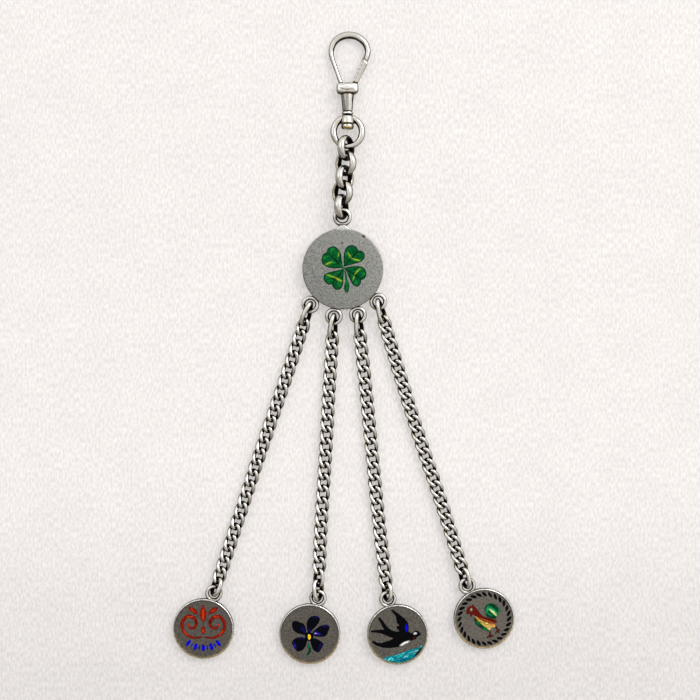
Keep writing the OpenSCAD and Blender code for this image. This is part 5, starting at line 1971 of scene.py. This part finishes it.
def rooster_motifs() -> list[Motif]:
    """Return a rooster in a ring of small leaves."""
    body = [
        (-2.4, 2.92), (-2.65, 2.5), (-2.95, 2.65), (-3.15, 2.3), (-3.4, 2.3), (-3.35, 1.9), (-3.65, 1.7),
        (-3.5, 1.4), (-3.6, 1.15), (-3.25, 1), (-2.95, 1.15), (-2.75, 0.6), (-2.55, 0.5), (-2.4, 0.95),
        (-1.85, 0.72), (-1.3, 0.28), (-0.5, -0.18), (0.6, -0.6), (1.6, -0.86), (2.5, -0.76), (2.2, -0.5),
        (2.45, -0.35), (1.6, 0), (0.6, 0.22), (-0.3, 0.52), (-0.95, 1.2), (-1.4, 1.9), (-2, 2.5),
    ]
    breast = [
        (-1.8, 0.5), (-1.44, -0.1), (-1.05, -0.58), (-0.32, -1.24), (0.48, -1.84), (1.05, -2.2), (1.4, -1.75),
        (2.1, -1.65), (2.05, -1.15), (1.25, -0.92), (0.25, -0.64), (-0.65, -0.28), (-1.3, 0.2),
    ]
    belly = [
        (-2, 0.25), (-1.98, -0.5), (-1.55, -1.25), (-0.7, -1.9), (0.25, -2.38), (0.9, -2.55), (1, -2.25),
        (0.45, -1.86), (-0.34, -1.26), (-1.07, -0.6), (-1.46, -0.12), (-1.78, 0.36),
    ]
    tail = [
        (0.5, 0.45), (1.1, 0.2), (1.75, 0.06), (2.3, 0.0), (2.4, 0.5), (2.95, 0.9), (2.65, 1.3), (3.45, 1.75),
        (2.85, 2.15), (2.3, 2.8), (1.7, 3.12), (1, 3.15), (0.4, 2.8), (0.08, 2.15), (0.12, 1.3),
    ]
    legs = (
        [
            (1.04, -2.5), (1.06, -3.2), (0.45, -3.7), (0.58, -3.86), (1.1, -3.48), (1.16, -3.84),
            (1.36, -3.8), (1.34, -3.46), (1.72, -3.58), (1.8, -3.4), (1.3, -3.2), (1.28, -2.5),
        ],
        [
            (2.1, -1.6), (2.58, -2.26), (2.14, -2.82), (2.3, -2.96), (2.7, -2.54), (2.88, -2.92),
            (3.04, -2.82), (2.86, -2.42), (3.18, -2.36), (3.18, -2.16), (2.82, -2.18), (2.4, -1.5),
        ],
    )
    brown, cream, orange = colour(92, 18, 9), colour(202, 180, 104), colour(206, 112, 4)
    green, teal, straw = colour(0, 60, 32), colour(24, 148, 88), colour(176, 146, 24)
    strokes = straw, colour(236, 222, 160), colour(150, 96, 14), colour(84, 96, 34)
    body_dabs = [
        Dab(-2.62, 1.9, 0.62, 0.45, 80, colour(150, 160, 140)),
        Dab.streak((-0.9, 0.5), (2.2, -0.45), 0.6, colour(84, 14, 5), 0.7),
        Dab.streak((-1.5, 0.32), (2.3, -0.9), 0.26, colour(196, 92, 14), 0.8),
        Dab(0.3, 0.1, 0.9, 0.25, -15, colour(60, 6, 2), 0.6),
        Dab(1.4, -0.35, 0.8, 0.2, -15, colour(60, 6, 2), 0.6),
    ]
    breast_dabs = [
        Dab.streak((-1.75, 0.3), (-1.1, -0.4), 0.5, straw, 0.9),
        Dab.streak((-1.5, 0.12), (2.1, -1.2), 0.5, colour(172, 72, 4)),
        Dab.streak((-1.45, -0.22), (1.4, -1.3), 0.34, straw, 0.8),
        Dab.streak((1.0, -1.3), (2.0, -1.4), 0.5, orange),
        Dab.streak((-0.7, -1.05), (0.6, -1.75), 0.25, orange, 0.55),
        Dab.streak((-1.0, -0.5), (0.9, -1.35), 0.12, straw, 0.7),
        Dab.streak((0.2, -1.1), (0.9, -1.9), 0.1, orange, 0.6),
    ]
    seed = np.random.default_rng(5)
    for index in range(26):
        run, drop = seed.uniform(-1.5, 1.7), seed.uniform(0.15, 1.2)
        tint = strokes[index % len(strokes)]
        breast_dabs.append(Dab(run, -0.4 - 0.36 * run - drop, 0.55, 0.16, seed.uniform(-50, -20), tint, 0.95))
    tail_dabs = [
        Dab.streak((0.35, 1.2), (0.8, 2.7), 0.6, teal, 0.95),
        Dab(1.1, 0.9, 1.2, 0.4, -30, teal, 0.7),
        Dab.streak((1.0, 2.3), (2.6, 0.75), 0.9, colour(40, 176, 110), 0.8),
        Dab.streak((1.05, 1.95), (2.45, 0.7), 0.42, colour(226, 232, 160), 0.95),
        Dab(1.5, 1.6, 0.25, 0.2, 0, colour(180, 120, 40), 0.7),
        Dab(2.1, 1.05, 0.25, 0.2, 0, colour(180, 120, 40), 0.7),
        Dab.streak((2.7, 1.8), (3.3, 1.8), 0.3, teal, 0.8),
        Dab.streak((2.5, 0.75), (2.9, 0.95), 0.3, teal, 0.8),
    ]
    leaves = []
    count, wreath_r, slant = 28, 4.98, 50
    for index in range(count):
        leaf = turned(turned(ellipse(1.36, 0.64, 16), slant, (wreath_r, 0)), 360 * index / count)
        leaves.append(Patch(leaf, colour(5, 4, 6), line=0.1, dome=0.04, spacing=0.13))
    main = Patch(finer(body, 0.2), brown, body_dabs, line=0.05, grow=0.07)
    fan = Patch(spline(breast, 4), cream, breast_dabs, line=0.04, spacing=0.07, grow=0.06)
    side = [
        Dab(0.3, -2.15, 1.5, 0.4, -26, colour(10, 120, 72), 0.9),
        Dab(-1.3, -0.8, 1.1, 0.2, -52, teal, 0.6),
    ]
    under = Patch(finer(belly, 0.2), green, side, line=0.05, spacing=0.09)
    plume = Patch(finer(tail, 0.2), green, tail_dabs, line=0.12, spacing=0.09, grow=0.04)
    claws = [Patch(finer(leg, 0.2), colour(70, 20, 10), line=0.02, spacing=0.08, grow=0.05) for leg in legs]
    return [
        Motif("rooster_body_enamel", "brown_enamel", [main]),
        Motif("rooster_breast_enamel", "gold_enamel", [fan]),
        Motif("rooster_belly_enamel", "green_enamel", [under]),
        Motif("rooster_tail_enamel", "green_enamel", [plume]),
        Motif("rooster_legs_enamel", "brown_enamel", claws),
        Motif("wreath_enamel", "black_enamel", leaves),
    ]


# Studio


@dataclass(frozen=True)
class Lamp:
    """Square soft light that points at the fob's middle."""

    name: str
    place: Place
    size: float
    power: float
    tint: Colour

    def hang(self) -> None:
        """Put the light into the scene."""
        lamp = bpy.data.lights.new(self.name, "AREA")
        lamp.size = self.size * MM
        lamp.energy = self.power
        lamp.color = self.tint
        made = in_scene(self.name, lamp)
        made.location = Vector(self.place) * MM
        made.rotation_euler = (-made.location).to_track_quat("-Z", "Y").to_euler()


@dataclass
class Studio:
    """Pale surface, soft light from the upper right, and the camera straight above.

    The view's place and width are those of the picture at the height of the wires, focus_z.
    """

    view_x: float = 1.25
    view_y: float = -0.41
    view_w: float = 140.0
    focus_z: float = 1.0
    height: float = 300.0
    floor_w: float = 900.0
    floor_tint: Colour = (0.42, 0.4, 0.39)
    floor_glow: Colour = (0.44, 0.424, 0.418)
    lamps: Sequence[Lamp] = (
        Lamp("key", (400, 380, 520), 380, 2.4, (1.0, 0.99, 0.97)),
        Lamp("fill", (-480, 260, 460), 420, 0.5, (0.97, 0.98, 1.0)),
    )

    def build(self) -> None:
        """Build the surface, the lights and the camera."""
        self.build_floor()
        for lamp in self.lamps:
            lamp.hang()
        self.build_room()
        self.build_camera()

    def build_floor(self) -> None:
        """Lay the glowing surface under the fob, woven, and a little dimmer towards the viewer."""
        half = self.floor_w / 2
        corners = np.array([(-half, -half, 0), (half, -half, 0), (half, half, 0), (-half, half, 0)], float)
        material, nodes, shader = new_material("Surface")
        place = nodes.object_place()
        up = nodes.add("ShaderNodeSeparateXYZ", Vector=place).outputs["Y"]
        dimmed = nodes.ramp(up, -0.075, -0.02, 0.87, 1.0)
        mottle = nodes.spread(nodes.noise(place, 9.0, 3.0), 0.985, 1.015)
        stretched = nodes.add("ShaderNodeMapping", Vector=place, Scale=(1.0, 0.4, 1.0)).outputs[0]
        weave = nodes.ramp(nodes.noise(stretched, 0.4, 3.0), 0.25, 0.75, 0.89, 1.11)
        level = nodes.math("MULTIPLY", dimmed, mottle, clamp=False)
        level = nodes.math("MULTIPLY", level, weave, clamp=False)
        nodes.feed(
            shader,
            Base_Color=nodes.scaled(self.floor_tint, level),
            Emission_Color=nodes.scaled(self.floor_glow, level),
            Emission_Strength=1.0,
            Roughness=0.9,
            Specular_IOR_Level=0.1,
        )
        Shape(corners, [(0, 1, 2, 3)]).object("surface", material)

    @staticmethod
    def build_room() -> None:
        """Light the fob from all round, with a darker side towards the viewer."""
        world = bpy.data.worlds.new("Room")
        bpy.context.scene.world = world
        world.use_nodes = True
        nodes = Tree(world.node_tree)
        way = nodes.add("ShaderNodeTexCoord").outputs["Generated"]
        dot = nodes.add("ShaderNodeVectorMath", {"operation": "DOT_PRODUCT"}, _0=way, _1=(0.5, 0.85, 0.0))
        rise = nodes.add("ShaderNodeSeparateXYZ", Vector=way).outputs["Z"]
        lit = nodes.ramp(dot.outputs["Value"], -0.6, 0.6)
        side = nodes.blend(lit, (0.44, 0.41, 0.37, 1), (1.25, 1.24, 1.22, 1))
        horizon = nodes.blend(lit, (0.1, 0.08, 0.06, 1), (0.75, 0.75, 0.75, 1))
        low = nodes.blend(nodes.ramp(rise, 0.0, 0.4), horizon, side)
        tint = nodes.blend(nodes.ramp(rise, 0.7, 0.96), low, (0.88, 0.88, 0.87, 1))
        nodes.feed(world.node_tree.nodes["Background"], Color=tint, Strength=1.0)

    def build_camera(self) -> None:
        """Set the camera straight above, framing the photograph's width at the height of the wires."""
        data = bpy.data.cameras.new("camera")
        data.sensor_width = 36
        data.lens = data.sensor_width * (self.height - self.focus_z) / self.view_w
        data.clip_start, data.clip_end = 0.01, 10
        made = in_scene("camera", data)
        made.location = Vector((self.view_x, self.view_y, self.height)) * MM
        bpy.context.scene.camera = made
        bpy.context.scene.view_settings.view_transform = "Standard"


def main() -> None:
    """Build every sub-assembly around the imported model."""
    logging.basicConfig(level=logging.INFO, format="%(name)s: %(message)s")
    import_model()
    Studio().build()
    shop = Workshop(SweepTree(), Finishes.make())
    Clip(shop).build()
    UpperChain(shop).build()
    charm = LargeCharm(shop)
    charm.build()
    motifs = (scroll_motifs(), flower_motifs(), swallow_motifs(), rooster_motifs())
    for number, (row, motif) in enumerate(zip(STRANDS, motifs), start=1):
        small = SmallCharm(shop, number, row, motif)
        small.build()
        HangingStrand(shop, number, row, charm.lug(row.lug_angle), small.lug).build()
    TarnishAndShade().mark(shop.silver)
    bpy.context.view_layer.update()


if __name__ == "__main__":
    main()
